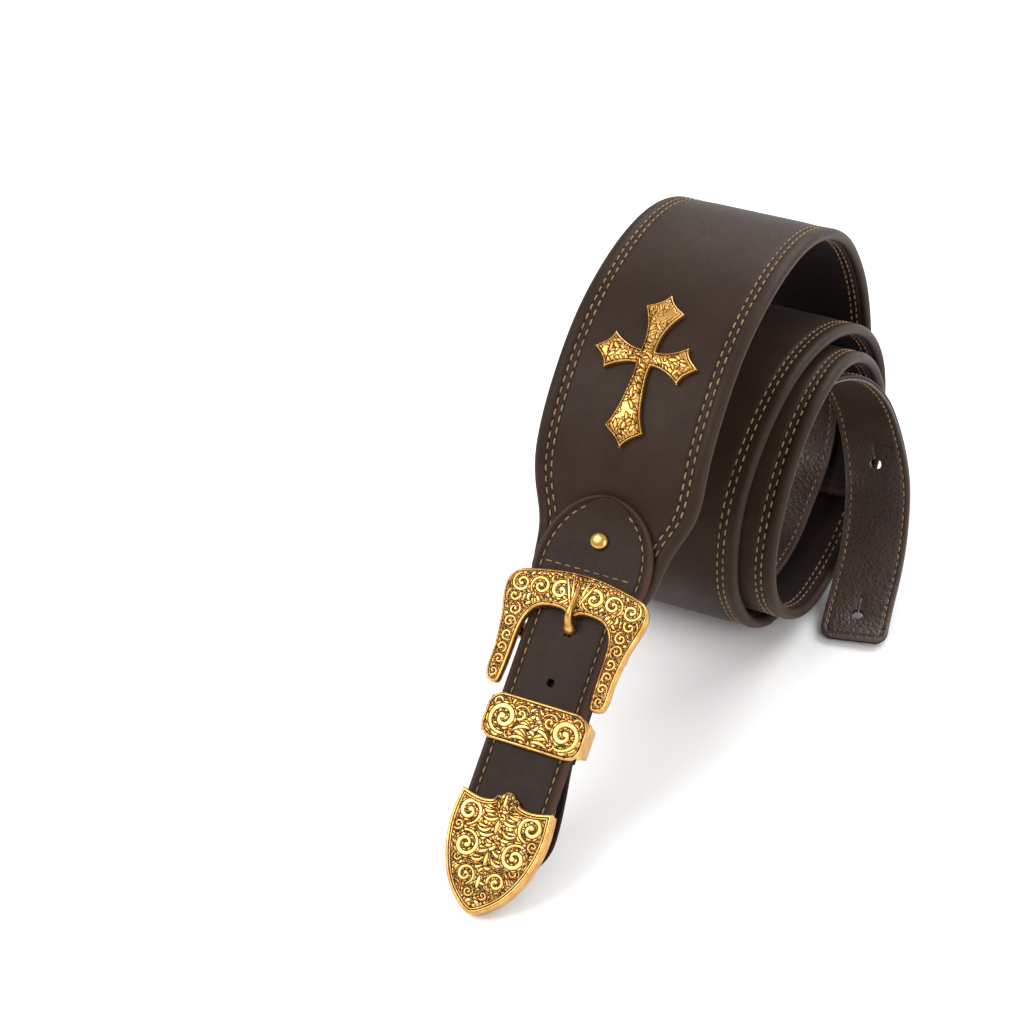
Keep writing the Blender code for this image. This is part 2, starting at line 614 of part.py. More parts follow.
def build_prong():
    """A ring round the bar and a prong that rises through the billet and rests on the frame."""
    angles = np.linspace(0, 2 * math.pi, 16, endpoint=False)

    def ring(radius, x):
        return strap.place(BAR_AT + radius * np.cos(angles), x, BAR_HEIGHT + radius * np.sin(angles))

    outer, inner = BAR_RADIUS + 1.9, BAR_RADIUS + GAP
    body = ring_body("buckle_prong", [ring(outer, -3.2), ring(outer, 3.2), ring(inner, 3.2),
                                      ring(inner, -3.2)], GOLD)
    points = np.array([(u, w) for u, w, _, _ in PRONG_LINE])
    along = np.gradient(points, axis=0)
    along /= np.linalg.norm(along, axis=1)[:, None]
    turn = np.linspace(0, 2 * math.pi, 10, endpoint=False)
    rings = []
    for (u, w, width, thick), (du, dw) in zip(PRONG_LINE, along):
        rings.append(strap.place(u - dw * thick * np.sin(turn), width * np.cos(turn),
                                 w + du * thick * np.sin(turn)))
    union_with(body, loft("stem", rings, GOLD))


def main():
    for old in list(bpy.data.objects):
        bpy.data.objects.remove(old)
    build_main_strap()
    build_billet()
    build_end_piece()
    build_tail()
    build_cross()
    build_tab_rivet()
    build_tip()
    build_keeper()
    build_frame()
    build_prong()


main()
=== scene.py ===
import math

import bpy

import numpy as np
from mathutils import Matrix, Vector


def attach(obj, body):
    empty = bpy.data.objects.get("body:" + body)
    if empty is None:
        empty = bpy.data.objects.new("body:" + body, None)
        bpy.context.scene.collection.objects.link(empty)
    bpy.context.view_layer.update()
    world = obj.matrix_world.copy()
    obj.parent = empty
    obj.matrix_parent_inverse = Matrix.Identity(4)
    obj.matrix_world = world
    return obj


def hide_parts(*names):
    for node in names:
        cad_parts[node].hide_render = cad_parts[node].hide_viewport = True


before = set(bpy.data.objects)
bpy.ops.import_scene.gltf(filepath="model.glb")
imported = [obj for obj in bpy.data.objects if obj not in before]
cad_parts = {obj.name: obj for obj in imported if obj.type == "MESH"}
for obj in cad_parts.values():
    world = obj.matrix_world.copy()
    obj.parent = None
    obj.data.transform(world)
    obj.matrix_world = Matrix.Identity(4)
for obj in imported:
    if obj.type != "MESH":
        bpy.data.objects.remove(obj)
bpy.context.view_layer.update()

print("frame loaded:", len(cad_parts), "nodes")

mm = 0.001
footprint = np.array([25.75, 27.4, -0.4])     # centre of the footprint in the routes' coordinates


# routes: a strap's centre line, with the directions across it and out of its face

strapPoints = [
    (0, -148.3, 0.3), (0, -118, 27.5), (0, -88, 54.4), (0, -58, 81.3),
    (0, -31, 105.5), (0, -20, 121), (0, -15, 137), (0, -8, 151), (0, 4, 165.5), (0, 21, 180),
    (0, 44, 191), (0, 70, 197), (0, 98, 197), (0, 122, 191), (0, 141, 182), (0, 157, 171),
    (0, 171, 157), (0, 184, 140), (0, 194, 122), (0, 201, 104), (0, 206, 84), (0, 207.5, 62),
    (0, 202, 39), (0, 188, 19), (0.5, 168, 5.5), (0.5, 142, 0), (0.5, 112, 0), (1, 86, 3),
    (1, 66, 13), (1, 51, 25), (1, 39.5, 39), (1, 30, 56), (1, 26.5, 76), (1, 29.5, 96),
    (1.5, 37, 111), (2.5, 48.5, 125), (3.5, 64, 135.5), (4.5, 84, 142), (5.5, 106, 143),
    (6.5, 128, 139.5), (7.5, 149, 132), (8.5, 168, 121), (9.5, 184, 106), (10.5, 194.5, 88),
    (11.5, 197.5, 68), (12.5, 193, 47), (13.5, 181, 29), (14.5, 163, 15.5), (15, 140, 8.5),
    (15.5, 114, 7), (16, 89, 11), (16, 67, 22), (16, 51.5, 35), (16, 40, 50), (16, 34.3, 68),
    (16, 36, 86), (16, 43.5, 102), (16, 55.5, 116.5), (16, 71.5, 127), (16, 91, 133),
    (16, 112, 133.5), (16, 133, 127.5), (16, 151, 117), (16, 166, 103.5), (16, 178, 87),
    (16, 185, 68), (16, 184.5, 49), (16, 175, 33), (16, 159, 21.5),
]
threadedPoints = [     # the tail's run through the ladder: distance from the strap's end, height
    (205, 3.6), (194, 3.6), (184, 3.5), (174, 2.9), (165, 0.8), (156, -1.8), (147, -4.6), (138, -6.2),
    (126, -6.3), (106, -6.3), (84, -6.5), (62, -6.6), (40, -6.8), (18, -6.9),
]
freePoints = [         # the tail's free run, out to the side and down
    (16, 154.8, 27.4), (16, 139, 18), (16, 114.6, 13.8), (16, 90.7, 17.6), (16, 70.3, 28), (16, 56, 40.2),
    (17, 46.3, 53.2), (18.5, 42, 68), (20, 43, 84.3), (22, 49.8, 98.2), (24, 60.5, 110.8),
    (27, 74.8, 119.8), (30, 92, 124.8), (34, 110, 125), (38, 127, 119.5), (41.5, 140, 111.5),
    (44.5, 151, 101), (47, 160.5, 89), (49.5, 168, 74.5), (53, 171.5, 58), (57.5, 168, 42.5),
    (63, 154.3, 29.5), (68, 134.5, 17), (71, 115, 8), (73.2, 101.5, 3.4), (75.6, 90, 1.2),
]


def unit(v):
    # each row divided by its own length
    return v / np.linalg.norm(v, axis=1)[:, None]


def runLength(p):
    # distance along a line of points, from 0 at the first
    return np.concatenate([[0], np.cumsum(np.linalg.norm(np.diff(p, axis=0), axis=1))])


def readAt(at, run, table):
    # each column of a table, read between its rows at the distances given
    return np.stack([np.interp(at, run, column) for column in table.T], axis=-1)


def splineThrough(points, step):
    # natural cubic spline: each stretch is a cubic whose bend is continuous at the points
    p = np.array(points, float)
    d = runLength(p)
    n, h = len(p), np.diff(d)
    a, b = np.eye(n), np.zeros((n, p.shape[1]))
    i = np.arange(1, n - 1)
    a[i, i - 1], a[i, i], a[i, i + 1] = h[:-1], 2 * (h[:-1] + h[1:]), h[1:]
    b[1:-1] = 6 * (np.diff(p, axis=0)[1:] / h[1:, None] - np.diff(p, axis=0)[:-1] / h[:-1, None])
    m = np.linalg.solve(a, b)
    s = np.linspace(0, d[-1], int(d[-1] / step) + 1)
    k = np.clip(np.searchsorted(d, s, side="right") - 1, 0, n - 2)
    left, right, span = (d[k + 1] - s)[:, None], (s - d[k])[:, None], h[k][:, None]
    return ((m[k] * left**3 + m[k + 1] * right**3) / (6 * span)
            + (p[k] / span - m[k] * span / 6) * left + (p[k + 1] / span - m[k + 1] * span / 6) * right)


def makeRoute(points, twisted=False):
    # across is x on a rolled strap, square to the centre line on a twisted one; outward is their normal
    fine = splineThrough(points, 0.25)
    run = runLength(fine)
    tangent = np.gradient(fine, axis=0)
    across = np.tile([1.0, 0, 0], (len(fine), 1))
    if twisted:
        tangent = unit(tangent)
        across = unit(across - tangent * tangent[:, :1])
    outward = unit(np.cross(across, tangent))
    return {"run": run, "table": np.hstack([fine, across, outward]), "length": run[-1]}


def bend(route, u, x, w):
    # carries flat places (u along, x across, w out of the face) onto the route
    u, x, w = np.broadcast_arrays(np.asarray(u, float), x, w)
    row = readAt(u, route["run"], route["table"])
    return row[..., :3] + row[..., 3:6] * x[..., None] + row[..., 6:9] * w[..., None]


strapRoute = makeRoute(strapPoints)
strapTrim = 8.0               # the strap stops this far before its route does
strapEnd = strapRoute["length"] - strapTrim
tailRoute = makeRoute([tuple(bend(strapRoute, strapEnd - s, 0.0, w)) for s, w in threadedPoints]
                      + freePoints, twisted=True)
print("routes:", round(strapRoute["length"]), "mm strap,", round(tailRoute["length"]), "mm tail")


# meshes from arrays

def putMesh(name, points, faces, look, marks=None, sharp=50):
    # points in route millimetres, faces as rows of vertex numbers; unused points are dropped
    used, faces = np.unique(faces, return_inverse=True)
    faces = faces.reshape(-1, 4) if faces.ndim == 1 else faces
    co = (points.reshape(-1, 3)[used] - footprint) * mm
    mesh = bpy.data.meshes.new(name)
    mesh.vertices.add(len(co))
    mesh.vertices.foreach_set("co", co.astype(np.float32).ravel())
    mesh.loops.add(faces.size)
    mesh.loops.foreach_set("vertex_index", faces.astype(np.int32).ravel())
    mesh.polygons.add(len(faces))
    mesh.polygons.foreach_set("loop_start", np.arange(0, faces.size, 4, dtype=np.int32))
    for key, values in (marks or {}).items():
        layer = mesh.attributes.new(key, "FLOAT", "POINT")
        layer.data.foreach_set("value", np.asarray(values, np.float32).ravel()[used])
    mesh.update(calc_edges=True)
    mesh.validate()
    mesh.shade_smooth()
    mesh.set_sharp_from_angle(angle=math.radians(sharp))
    mesh.materials.append(look)
    made = bpy.data.objects.new(name, mesh)
    bpy.context.scene.collection.objects.link(made)
    return made


def cellFaces(rows, columns, keep=None):
    # quads of a grid, facing out when columns run across and rows along
    i, j = np.meshgrid(np.arange(rows - 1), np.arange(columns - 1), indexing="ij")
    a = i * columns + j
    quads = np.stack([a, a + 1, a + columns + 1, a + columns], axis=-1)
    return quads.reshape(-1, 4) if keep is None else quads[keep]


def closeSheet(quads, count):
    # upper quads, the same quads below turned over, and a wall along every open edge
    a, b = quads.ravel(), np.roll(quads, -1, axis=1).ravel()
    alone = ~np.isin(a * count + b, b * count + a)
    a, b = a[alone], b[alone]
    walls = np.stack([b, a, a + count, b + count], axis=1)
    return np.vstack([quads, quads[:, ::-1] + count, walls])


def edgeColumns(half, steps, inner):
    # places across: fixed steps in from each edge, even steps between; narrow rows squeeze them
    squeeze = np.minimum(1, half / (steps[-1] * 1.15))[:, None]
    d = np.asarray(steps)[None, :] * squeeze
    middle = (half[:, None] - d[:, -1:]) * np.linspace(-1, 1, inner)[None, 1:-1]
    return np.hstack([d - half[:, None], middle, (half[:, None] - d)[:, ::-1]])


def sheetPiece(name, route, rows, half, steps, inner, upper, lower, look, holes=(), ends=(True, True)):
    # a cut piece of leather: upper and lower heights are functions of (u, x, distance to the edge)
    x = edgeColumns(half, steps, inner)
    u = np.repeat(rows[:, None], x.shape[1], axis=1)
    for snap, _ in holes:
        u, x = snap(u, x)
    centreU = (u[:-1, :-1] + u[1:, 1:]) / 2
    centreX = (x[:-1, :-1] + x[1:, 1:]) / 2
    keep = np.ones(centreU.shape, bool)
    for _, inside in holes:
        keep &= ~inside(centreU, centreX)
    toEdge = half[:, None] - np.abs(x)
    if ends[0]:
        toEdge = np.minimum(toEdge, u - rows[0])
    if ends[1]:
        toEdge = np.minimum(toEdge, rows[-1] - u)
    toEdge = np.maximum(toEdge, 0)
    top = bend(route, u, x, upper(u, x, toEdge))
    low = bend(route, u, x, lower(u, x, toEdge))
    count = u.size
    quads = closeSheet(cellFaces(*u.shape, keep), count)
    marks = {"along": np.concatenate([u.ravel(), u.ravel()]),
             "inFromEdge": np.concatenate([toEdge.ravel(), toEdge.ravel()])}
    return putMesh(name, np.concatenate([top.reshape(-1, 3), low.reshape(-1, 3)]), quads, look, marks)


def roundHole(u0, x0, radius, reach):
    # grid points near the rim move onto it, and what lies inside goes
    def snap(u, x):
        r = np.hypot(u - u0, x - x0)
        near = np.abs(r - radius) < reach
        k = np.where(near, radius / np.maximum(r, 1e-6), 1)
        return u0 + (u - u0) * k, x0 + (x - x0) * k
    return snap, lambda u, x: np.hypot(u - u0, x - x0) < radius


def boxHole(low, high, half):
    # rectangular opening: the cells whose middle lies in it go
    return (lambda u, x: (u, x)), lambda u, x: (u > low) & (u < high) & (np.abs(x) < half)


def lensHole(u0, length, half):
    # slot across the strap: its rim is half a sine wave to each side
    def rim(x):
        return length / 2 * np.cos(np.pi * np.clip(x / half, -1, 1) / 2)

    def snap(u, x):
        near = (np.abs(np.abs(u - u0) - rim(x)) < 1.0) & (np.abs(x) < half)
        return np.where(near, u0 + np.sign(u - u0) * rim(x), u), x
    return snap, lambda u, x: (np.abs(u - u0) < rim(x) - 0.05) & (np.abs(x) < half)


def bump(t, centre, width):
    # smooth hump of height 1
    return np.exp(-((t - centre) / width) ** 2)


def smoothStep(k):
    # eases from 0 to 1 and is level at both ends
    k = np.clip(k, 0, 1)
    return k**2 * (3 - 2 * k)


def roundOver(d, radius):
    # quarter circle from 0 at the edge up to the radius, then level
    k = np.clip(1 - d / radius, 0, 1)
    return radius * np.sqrt(1 - k * k)


def dress(piece, body, slot, *nodes):
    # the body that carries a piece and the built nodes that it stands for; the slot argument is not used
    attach(piece, body)
    if nodes:
        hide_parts(*nodes)
    return piece


# thread: each stitch is a short tube of rings

stitchRings, stitchSides = 7, 6


def sewRow(points, normals, pitch, start=0.5, length=3.3, width=0.42, height=0.34):
    # stitches along a curve: bowed, flattened capsules whose ends dive into the leather
    run = runLength(points)
    at = np.arange(start * pitch, run[-1] - pitch / 2, pitch)
    centre = readAt(at, run, points)
    along = unit(readAt(at + 0.6, run, points) - readAt(at - 0.6, run, points))
    out = readAt(at, run, normals)
    out = unit(out - along * np.sum(along * out, axis=1)[:, None])
    side = np.cross(along, out)
    t = np.linspace(-1, 1, stitchRings)
    angle = np.linspace(0, 2 * np.pi, stitchSides, endpoint=False)
    swell = np.maximum(1 - t**4, 0.08) ** 0.5
    lift = 0.30 - 0.62 * t**4
    a = np.broadcast_to(t[:, None] * length / 2, (stitchRings, stitchSides))
    b = swell[:, None] * np.cos(angle) * width
    c = lift[:, None] + swell[:, None] * np.sin(angle) * height
    local = (centre[:, None, None] + along[:, None, None] * a[..., None]
             + side[:, None, None] * b[..., None] + out[:, None, None] * c[..., None])
    return local.reshape(len(at), -1, 3)


def threadPiece(name, rows, look, body):
    # joins the stitches of several rows in one mesh; ring quads and two capped ends per stitch
    stitches = np.concatenate(rows)
    i, j = np.meshgrid(np.arange(stitchRings - 1), np.arange(stitchSides), indexing="ij")
    a = (i * stitchSides + j).ravel()
    b = (i * stitchSides + (j + 1) % stitchSides).ravel()
    cap = np.array([[3, 2, 1, 0], [5, 4, 3, 0]])
    quads = np.vstack([np.stack([a, b, b + stitchSides, a + stitchSides], axis=1),
                       cap, cap[:, ::-1] + (stitchRings - 1) * stitchSides])
    first = np.arange(len(stitches)) * stitchRings * stitchSides
    every = (quads[None] + first[:, None, None]).reshape(-1, 4)
    return dress(putMesh(name, stitches.reshape(-1, 3), every, look, sharp=80), body, "thread")


def rowOn(route, u, x, w, side=1.0):
    # a sewing line over a route, with its outward direction
    points = bend(route, u, x, w)
    return points, (bend(route, u, x, np.asarray(w) + side) - points)


# shader groups and materials

def nodeAt(tree, kind, **values):
    node = tree.nodes.new(kind)
    for key, value in values.items():
        setattr(node, key, value)
    return node


def startGroup(name, inputs, outputs):
    group = bpy.data.node_groups.new(name, "ShaderNodeTree")
    for label, kind, default in inputs:
        socket = group.interface.new_socket(name=label, in_out="INPUT", socket_type=kind)
        socket.default_value = default
    for label, kind in outputs:
        group.interface.new_socket(name=label, in_out="OUTPUT", socket_type=kind)
    return group, nodeAt(group, "NodeGroupInput"), nodeAt(group, "NodeGroupOutput")


def mathNode(tree, operation, a, b=None, clamp=False):
    node = nodeAt(tree, "ShaderNodeMath", operation=operation, use_clamp=clamp)
    for socket, value in zip(node.inputs, (a, b)):
        if value is None:
            continue
        if isinstance(value, (int, float)):
            socket.default_value = value
        else:
            tree.links.new(value, socket)
    return node.outputs[0]


def rangeNode(tree, value, low, high, toLow=0.0, toHigh=1.0):
    node = nodeAt(tree, "ShaderNodeMapRange", interpolation_type="SMOOTHSTEP")
    tree.links.new(value, node.inputs["Value"])
    for key, number in (("From Min", low), ("From Max", high), ("To Min", toLow), ("To Max", toHigh)):
        node.inputs[key].default_value = number
    return node.outputs["Result"]


def mixColor(tree, factor, first, second, blend="MIX"):
    node = nodeAt(tree, "ShaderNodeMix", data_type="RGBA", blend_type=blend)
    for socket, value in ((node.inputs[0], factor), (node.inputs[6], first), (node.inputs[7], second)):
        if isinstance(value, float):
            socket.default_value = value
        elif isinstance(value, tuple):
            socket.default_value = (*value, 1.0)
        else:
            tree.links.new(value, socket)
    return node.outputs[2]


def noiseNode(tree, vector, scale, detail=3.0, rough=0.55):
    node = nodeAt(tree, "ShaderNodeTexNoise")
    tree.links.new(vector, node.inputs["Vector"])
    if isinstance(scale, (int, float)):
        node.inputs["Scale"].default_value = scale
    else:
        tree.links.new(scale, node.inputs["Scale"])
    node.inputs["Detail"].default_value = detail
    node.inputs["Roughness"].default_value = rough
    return node.outputs["Fac"]


def makeGrainGroup():
    # leather grain: cell creases over two sizes of noise, and a slow mottling for the colour
    group, given, result = startGroup("leatherGrain", [("Size", "NodeSocketFloat", 900.0),
                                                        ("Creases", "NodeSocketFloat", 0.5)],
                                      [("Height", "NodeSocketFloat"), ("Mottle", "NodeSocketFloat")])
    place = nodeAt(group, "ShaderNodeTexCoord").outputs["Object"]
    cells = nodeAt(group, "ShaderNodeTexVoronoi", feature="DISTANCE_TO_EDGE")
    group.links.new(place, cells.inputs["Vector"])
    group.links.new(given.outputs["Size"], cells.inputs["Scale"])
    cells.inputs["Randomness"].default_value = 1.0
    crease = rangeNode(group, cells.outputs["Distance"], 0.0, 0.28)
    fine = noiseNode(group, place, mathNode(group, "MULTIPLY", given.outputs["Size"], 1.7), 4.0, 0.6)
    broad = noiseNode(group, place, 260.0, 3.0)
    folded = mathNode(group, "MULTIPLY", crease, given.outputs["Creases"])
    total = mathNode(group, "ADD", mathNode(group, "ADD", folded, fine), broad)
    group.links.new(total, result.inputs["Height"])
    group.links.new(noiseNode(group, place, 42.0, 5.0, 0.62), result.inputs["Mottle"])
    return group


def makeStitchGroup():
    # needle holes: spots at even pitch in one or two rows at set distances from the edge, for painted shade
    # in the holes and along the thread line
    group, given, result = startGroup("needleHoles", [
        ("Row A", "NodeSocketFloat", 6.0), ("Row B", "NodeSocketFloat", 8.6),
        ("Pitch", "NodeSocketFloat", 4.8), ("Stagger", "NodeSocketFloat", 0.5)],
        [("Holes", "NodeSocketFloat"), ("Edge Highlight", "NodeSocketFloat")])
    along = nodeAt(group, "ShaderNodeAttribute", attribute_name="along").outputs["Fac"]
    inward = nodeAt(group, "ShaderNodeAttribute", attribute_name="inFromEdge").outputs["Fac"]
    phase = mathNode(group, "DIVIDE", along, given.outputs["Pitch"])

    def row(distance, shifted):
        across = mathNode(group, "ABSOLUTE", mathNode(group, "SUBTRACT", inward, distance))
        turns = mathNode(group, "ADD", phase, given.outputs["Stagger"]) if shifted else phase
        away = mathNode(group, "ABSOLUTE", mathNode(group, "SUBTRACT", mathNode(group, "FRACT", turns), 0.5))
        toStitch = mathNode(group, "SUBTRACT", 0.5, away)
        lengthwise = mathNode(group, "MULTIPLY", toStitch, given.outputs["Pitch"])
        spread = mathNode(group, "SQRT", mathNode(group, "ADD", mathNode(group, "POWER", across, 2.0),
                                                  mathNode(group, "POWER", lengthwise, 2.0)))
        # round spots at the needle holes and a fainter line along the row; the leather look paints them dark
        # as painted shade and sinks them in its bump
        pit = rangeNode(group, spread, 0.45, 1.05, 1.0, 0.0)
        groove = rangeNode(group, across, 0.4, 1.1, 0.35, 0.0)
        return mathNode(group, "MAXIMUM", pit, groove)
    rowA, rowB = row(given.outputs["Row A"], False), row(given.outputs["Row B"], True)
    holes = mathNode(group, "MAXIMUM", rowA, rowB)
    group.links.new(holes, result.inputs["Holes"])
    # a band along the edge, used for the painted edge highlight
    group.links.new(rangeNode(group, inward, 0.2, 2.6, 1.0, 0.0), result.inputs["Edge Highlight"])
    return group


grainGroup = makeGrainGroup()
stitchGroup = makeStitchGroup()


def placeGroup(tree, group, **values):
    node = nodeAt(tree, "ShaderNodeGroup")
    node.node_tree = group
    for key, value in values.items():
        node.inputs[key.replace("_", " ")].default_value = value
    return node


def newLook(name):
    # a material with its tree and its shader
    look = bpy.data.materials.new(name)
    look.use_nodes = True
    return look, look.node_tree, look.node_tree.nodes["Principled BSDF"]


def addBump(tree, shader, height, strength, distance):
    # a height field whose slope, times the distance in metres, tilts the shader's normal
    bumped = nodeAt(tree, "ShaderNodeBump")
    bumped.inputs["Strength"].default_value = strength
    bumped.inputs["Distance"].default_value = distance
    tree.links.new(height, bumped.inputs["Height"])
    tree.links.new(bumped.outputs["Normal"], shader.inputs["Normal"])


def leatherLook(name, spec):
    # brown leather: mottled colour, a lighter rim band painted as an edge highlight, needle holes and thread
    # lines darkened as painted shade, creased grain
    look, tree, shader = newLook(name)
    grain = placeGroup(tree, grainGroup, Size=spec["grainSize"], Creases=spec["creases"])
    sewn = placeGroup(tree, stitchGroup, Row_A=spec["rows"][0], Row_B=spec["rows"][1],
                      Pitch=spec["pitch"], Stagger=0.5)
    mottle = rangeNode(tree, grain.outputs["Mottle"], 0.3, 0.7)
    base = mixColor(tree, mottle, spec["dark"], spec["light"])
    # painted edge highlight: the lighter rim colour laid over a band along the edge
    rimLit = mixColor(tree, mathNode(tree, "MULTIPLY", sewn.outputs["Edge Highlight"], spec["rimHighlight"]), base, spec["rim"])
    # painted shade: near black in the needle holes and along the thread lines
    holeShaded = mixColor(tree, mathNode(tree, "MULTIPLY", sewn.outputs["Holes"], spec["holeDepthAndShade"]), rimLit,
                     (0.006, 0.004, 0.003))
    tree.links.new(holeShaded, shader.inputs["Base Color"])
    rough = rangeNode(tree, grain.outputs["Height"], 0.6, 1.9, spec["rough"] + 0.09, spec["rough"] - 0.07)
    tree.links.new(rough, shader.inputs["Roughness"])
    relief = mathNode(tree, "SUBTRACT", grain.outputs["Height"],
                      mathNode(tree, "MULTIPLY", sewn.outputs["Holes"], 4.0 * spec["holeDepthAndShade"]))
    addBump(tree, shader, relief, spec["bump"], 0.00012)
    shader.inputs["Specular IOR Level"].default_value = spec["shine"]
    shader.inputs["Sheen Weight"].default_value = 0.02
    shader.inputs["Sheen Roughness"].default_value = 0.4
    return look


# in each spec the rim colour is a painted edge highlight, and the hole setting both darkens the needle holes
# as painted shade and sinks them
faceLeather = leatherLook("faceLeather", {
    "grainSize": 1100.0, "creases": 0.35, "rows": (6.0, 8.6), "pitch": 4.8, "dark": (0.020, 0.0096, 0.0055),
    "light": (0.027, 0.0135, 0.0080), "rim": (0.045, 0.027, 0.019), "rimHighlight": 0.45, "holeDepthAndShade": 0.9,
    "rough": 0.5, "bump": 0.35, "shine": 0.13})
liningLeather = leatherLook("liningLeather", {
    "grainSize": 800.0, "creases": 0.5, "rows": (1.9, 4.5), "pitch": 4.8, "dark": (0.0085, 0.0045, 0.0028),
    "light": (0.0125, 0.0068, 0.0045), "rim": (0.02, 0.012, 0.008), "rimHighlight": 0.5, "holeDepthAndShade": 0.8,
    "rough": 0.6, "bump": 0.45, "shine": 0.16})
tabLeather = leatherLook("tabLeather", {
    "grainSize": 1000.0, "creases": 0.3, "rows": (4.1, -50.0), "pitch": 4.3, "dark": (0.0165, 0.0080, 0.0044),
    "light": (0.0225, 0.0112, 0.0064), "rim": (0.075, 0.034, 0.016), "rimHighlight": 0.7, "holeDepthAndShade": 0.85,
    "rough": 0.5, "bump": 0.35, "shine": 0.13})
tailLeather = leatherLook("tailLeather", {
    "grainSize": 420.0, "creases": 1.1, "rows": (2.9, -50.0), "pitch": 4.1, "dark": (0.026, 0.0135, 0.0088),
    "light": (0.040, 0.0215, 0.0145), "rim": (0.06, 0.037, 0.026), "rimHighlight": 0.6, "holeDepthAndShade": 0.85,
    "rough": 0.42, "bump": 0.75, "shine": 0.45})


def makeThreadLook():
    # waxed thread: twist lines along the stitch darkened as painted shade between the strands, and a little
    # colour drift
    look, tree, shader = newLook("goldenThread")
    place = nodeAt(tree, "ShaderNodeTexCoord").outputs["Object"]
    drift = noiseNode(tree, place, 150.0, 2.0)
    twist = nodeAt(tree, "ShaderNodeTexWave", wave_type="BANDS", bands_direction="DIAGONAL")
    tree.links.new(place, twist.inputs["Vector"])
    twist.inputs["Scale"].default_value = 620.0
    twist.inputs["Distortion"].default_value = 1.5
    tint = mixColor(tree, rangeNode(tree, drift, 0.3, 0.7), (0.17, 0.088, 0.034), (0.30, 0.175, 0.075))
    # painted shade: the twist bands darken the thread in the grooves between its strands
    twistShaded = mixColor(tree, mathNode(tree, "MULTIPLY", twist.outputs["Fac"], 0.45), tint, (0.14, 0.07, 0.025))
    tree.links.new(twistShaded, shader.inputs["Base Color"])
    shader.inputs["Roughness"].default_value = 0.62
    addBump(tree, shader, twist.outputs["Fac"], 1.0, 0.00008)
    return look


def makePatinaGroup():
    # antique gold: patina in the recesses given by relief, and fine tarnish
    group, given, result = startGroup("antiquePatina", [("Relief", "NodeSocketFloat", 1.0),
                                                         ("Tarnish", "NodeSocketFloat", 0.3)],
                                      [("Bright", "NodeSocketFloat"), ("Height", "NodeSocketFloat"),
                                       ("Drift", "NodeSocketFloat")])
    place = nodeAt(group, "ShaderNodeTexCoord").outputs["Object"]
    spots = noiseNode(group, place, 1400.0, 4.0, 0.65)
    clouds = noiseNode(group, place, 180.0, 4.0, 0.6)
    dirt = mathNode(group, "MULTIPLY", rangeNode(group, clouds, 0.45, 0.75), given.outputs["Tarnish"])
    level = mathNode(group, "SUBTRACT", given.outputs["Relief"], mathNode(group, "MULTIPLY", spots, 0.16))
    bright = mathNode(group, "SUBTRACT", rangeNode(group, level, 0.16, 0.5), dirt, clamp=True)
    group.links.new(bright, result.inputs["Bright"])
    group.links.new(mathNode(group, "ADD", spots, clouds), result.inputs["Height"])
    group.links.new(clouds, result.inputs["Drift"])
    return group


patinaGroup = makePatinaGroup()


def goldLook(name, engraved, gold, rough, tarnish=0.25, texture=0.15):
    # gold over the patina group: dark and rough in its recesses, warmer where the drift is high
    look, tree, shader = newLook(name)
    aged = placeGroup(tree, patinaGroup, Tarnish=tarnish)
    if engraved:
        relief = nodeAt(tree, "ShaderNodeAttribute", attribute_name="relief").outputs["Fac"]
        tree.links.new(relief, aged.inputs["Relief"])
    warm = mixColor(tree, rangeNode(tree, aged.outputs["Drift"], 0.3, 0.7), gold,
                    (gold[0] * 0.82, gold[1] * 0.7, gold[2] * 0.55))
    color = mixColor(tree, aged.outputs["Bright"], (0.011, 0.0055, 0.0025), warm)
    tree.links.new(color, shader.inputs["Base Color"])
    tree.links.new(rangeNode(tree, aged.outputs["Bright"], 0.0, 1.0, 0.6, 1.0), shader.inputs["Metallic"])
    tree.links.new(rangeNode(tree, aged.outputs["Bright"], 0.0, 1.0, 0.62, rough), shader.inputs["Roughness"])
    addBump(tree, shader, aged.outputs["Height"], texture, 0.00015)
    return look


threadLook = makeThreadLook()
engravedGold = goldLook("engravedGold", True, (0.68, 0.405, 0.13), 0.31, 0.15)
castGold = goldLook("castGold", True, (0.64, 0.375, 0.115), 0.36, 0.2, 0.2)
plainGold = goldLook("plainGold", False, (0.68, 0.41, 0.135), 0.27, 0.15)
print("materials made")


# the wide strap: padded face turned over its edges, with a lining set into the back

strapSpec = {"half": 38.0, "rowStep": 2.0, "rows": (6.0, 8.6), "pitch": 4.8,
             "groove": 0.42, "pad": 0.35, "liningInset": 4.1, "liningProud": 0.5,
             "start": 136.0, "corner": 16}
neckShape = [(136, 23.6), (141, 25.8), (150, 28), (160, 29.5), (168, 32), (176, 35.4), (184, 37.3), (194, 38),
             (210, 38)]
rimSteps = [0.0, 0.08, 0.3, 0.7, 1.2, 1.8, 2.5, 3.3, 4.2, 5.1, 5.7, 6.3, 7.3, 8.3, 8.9, 9.6, 10.6, 12.0, 14.5]


def smoothShape(points):
    # eases a given outline with the natural spline, read as half width over u
    fine = splineThrough(points, 0.5)
    return lambda u: np.interp(u, fine[:, 0], fine[:, 1])


def strapHalf(u):
    # the neck's outline, then the full width, with a quarter circle at each inner corner
    corner = strapSpec["corner"]
    half = np.where(u < 205, smoothShape(neckShape)(np.minimum(u, 209)), strapSpec["half"])
    into = np.clip(u - (strapEnd - corner), 0, corner)
    return np.minimum(half, strapSpec["half"] - corner + np.sqrt(corner**2 - into**2))


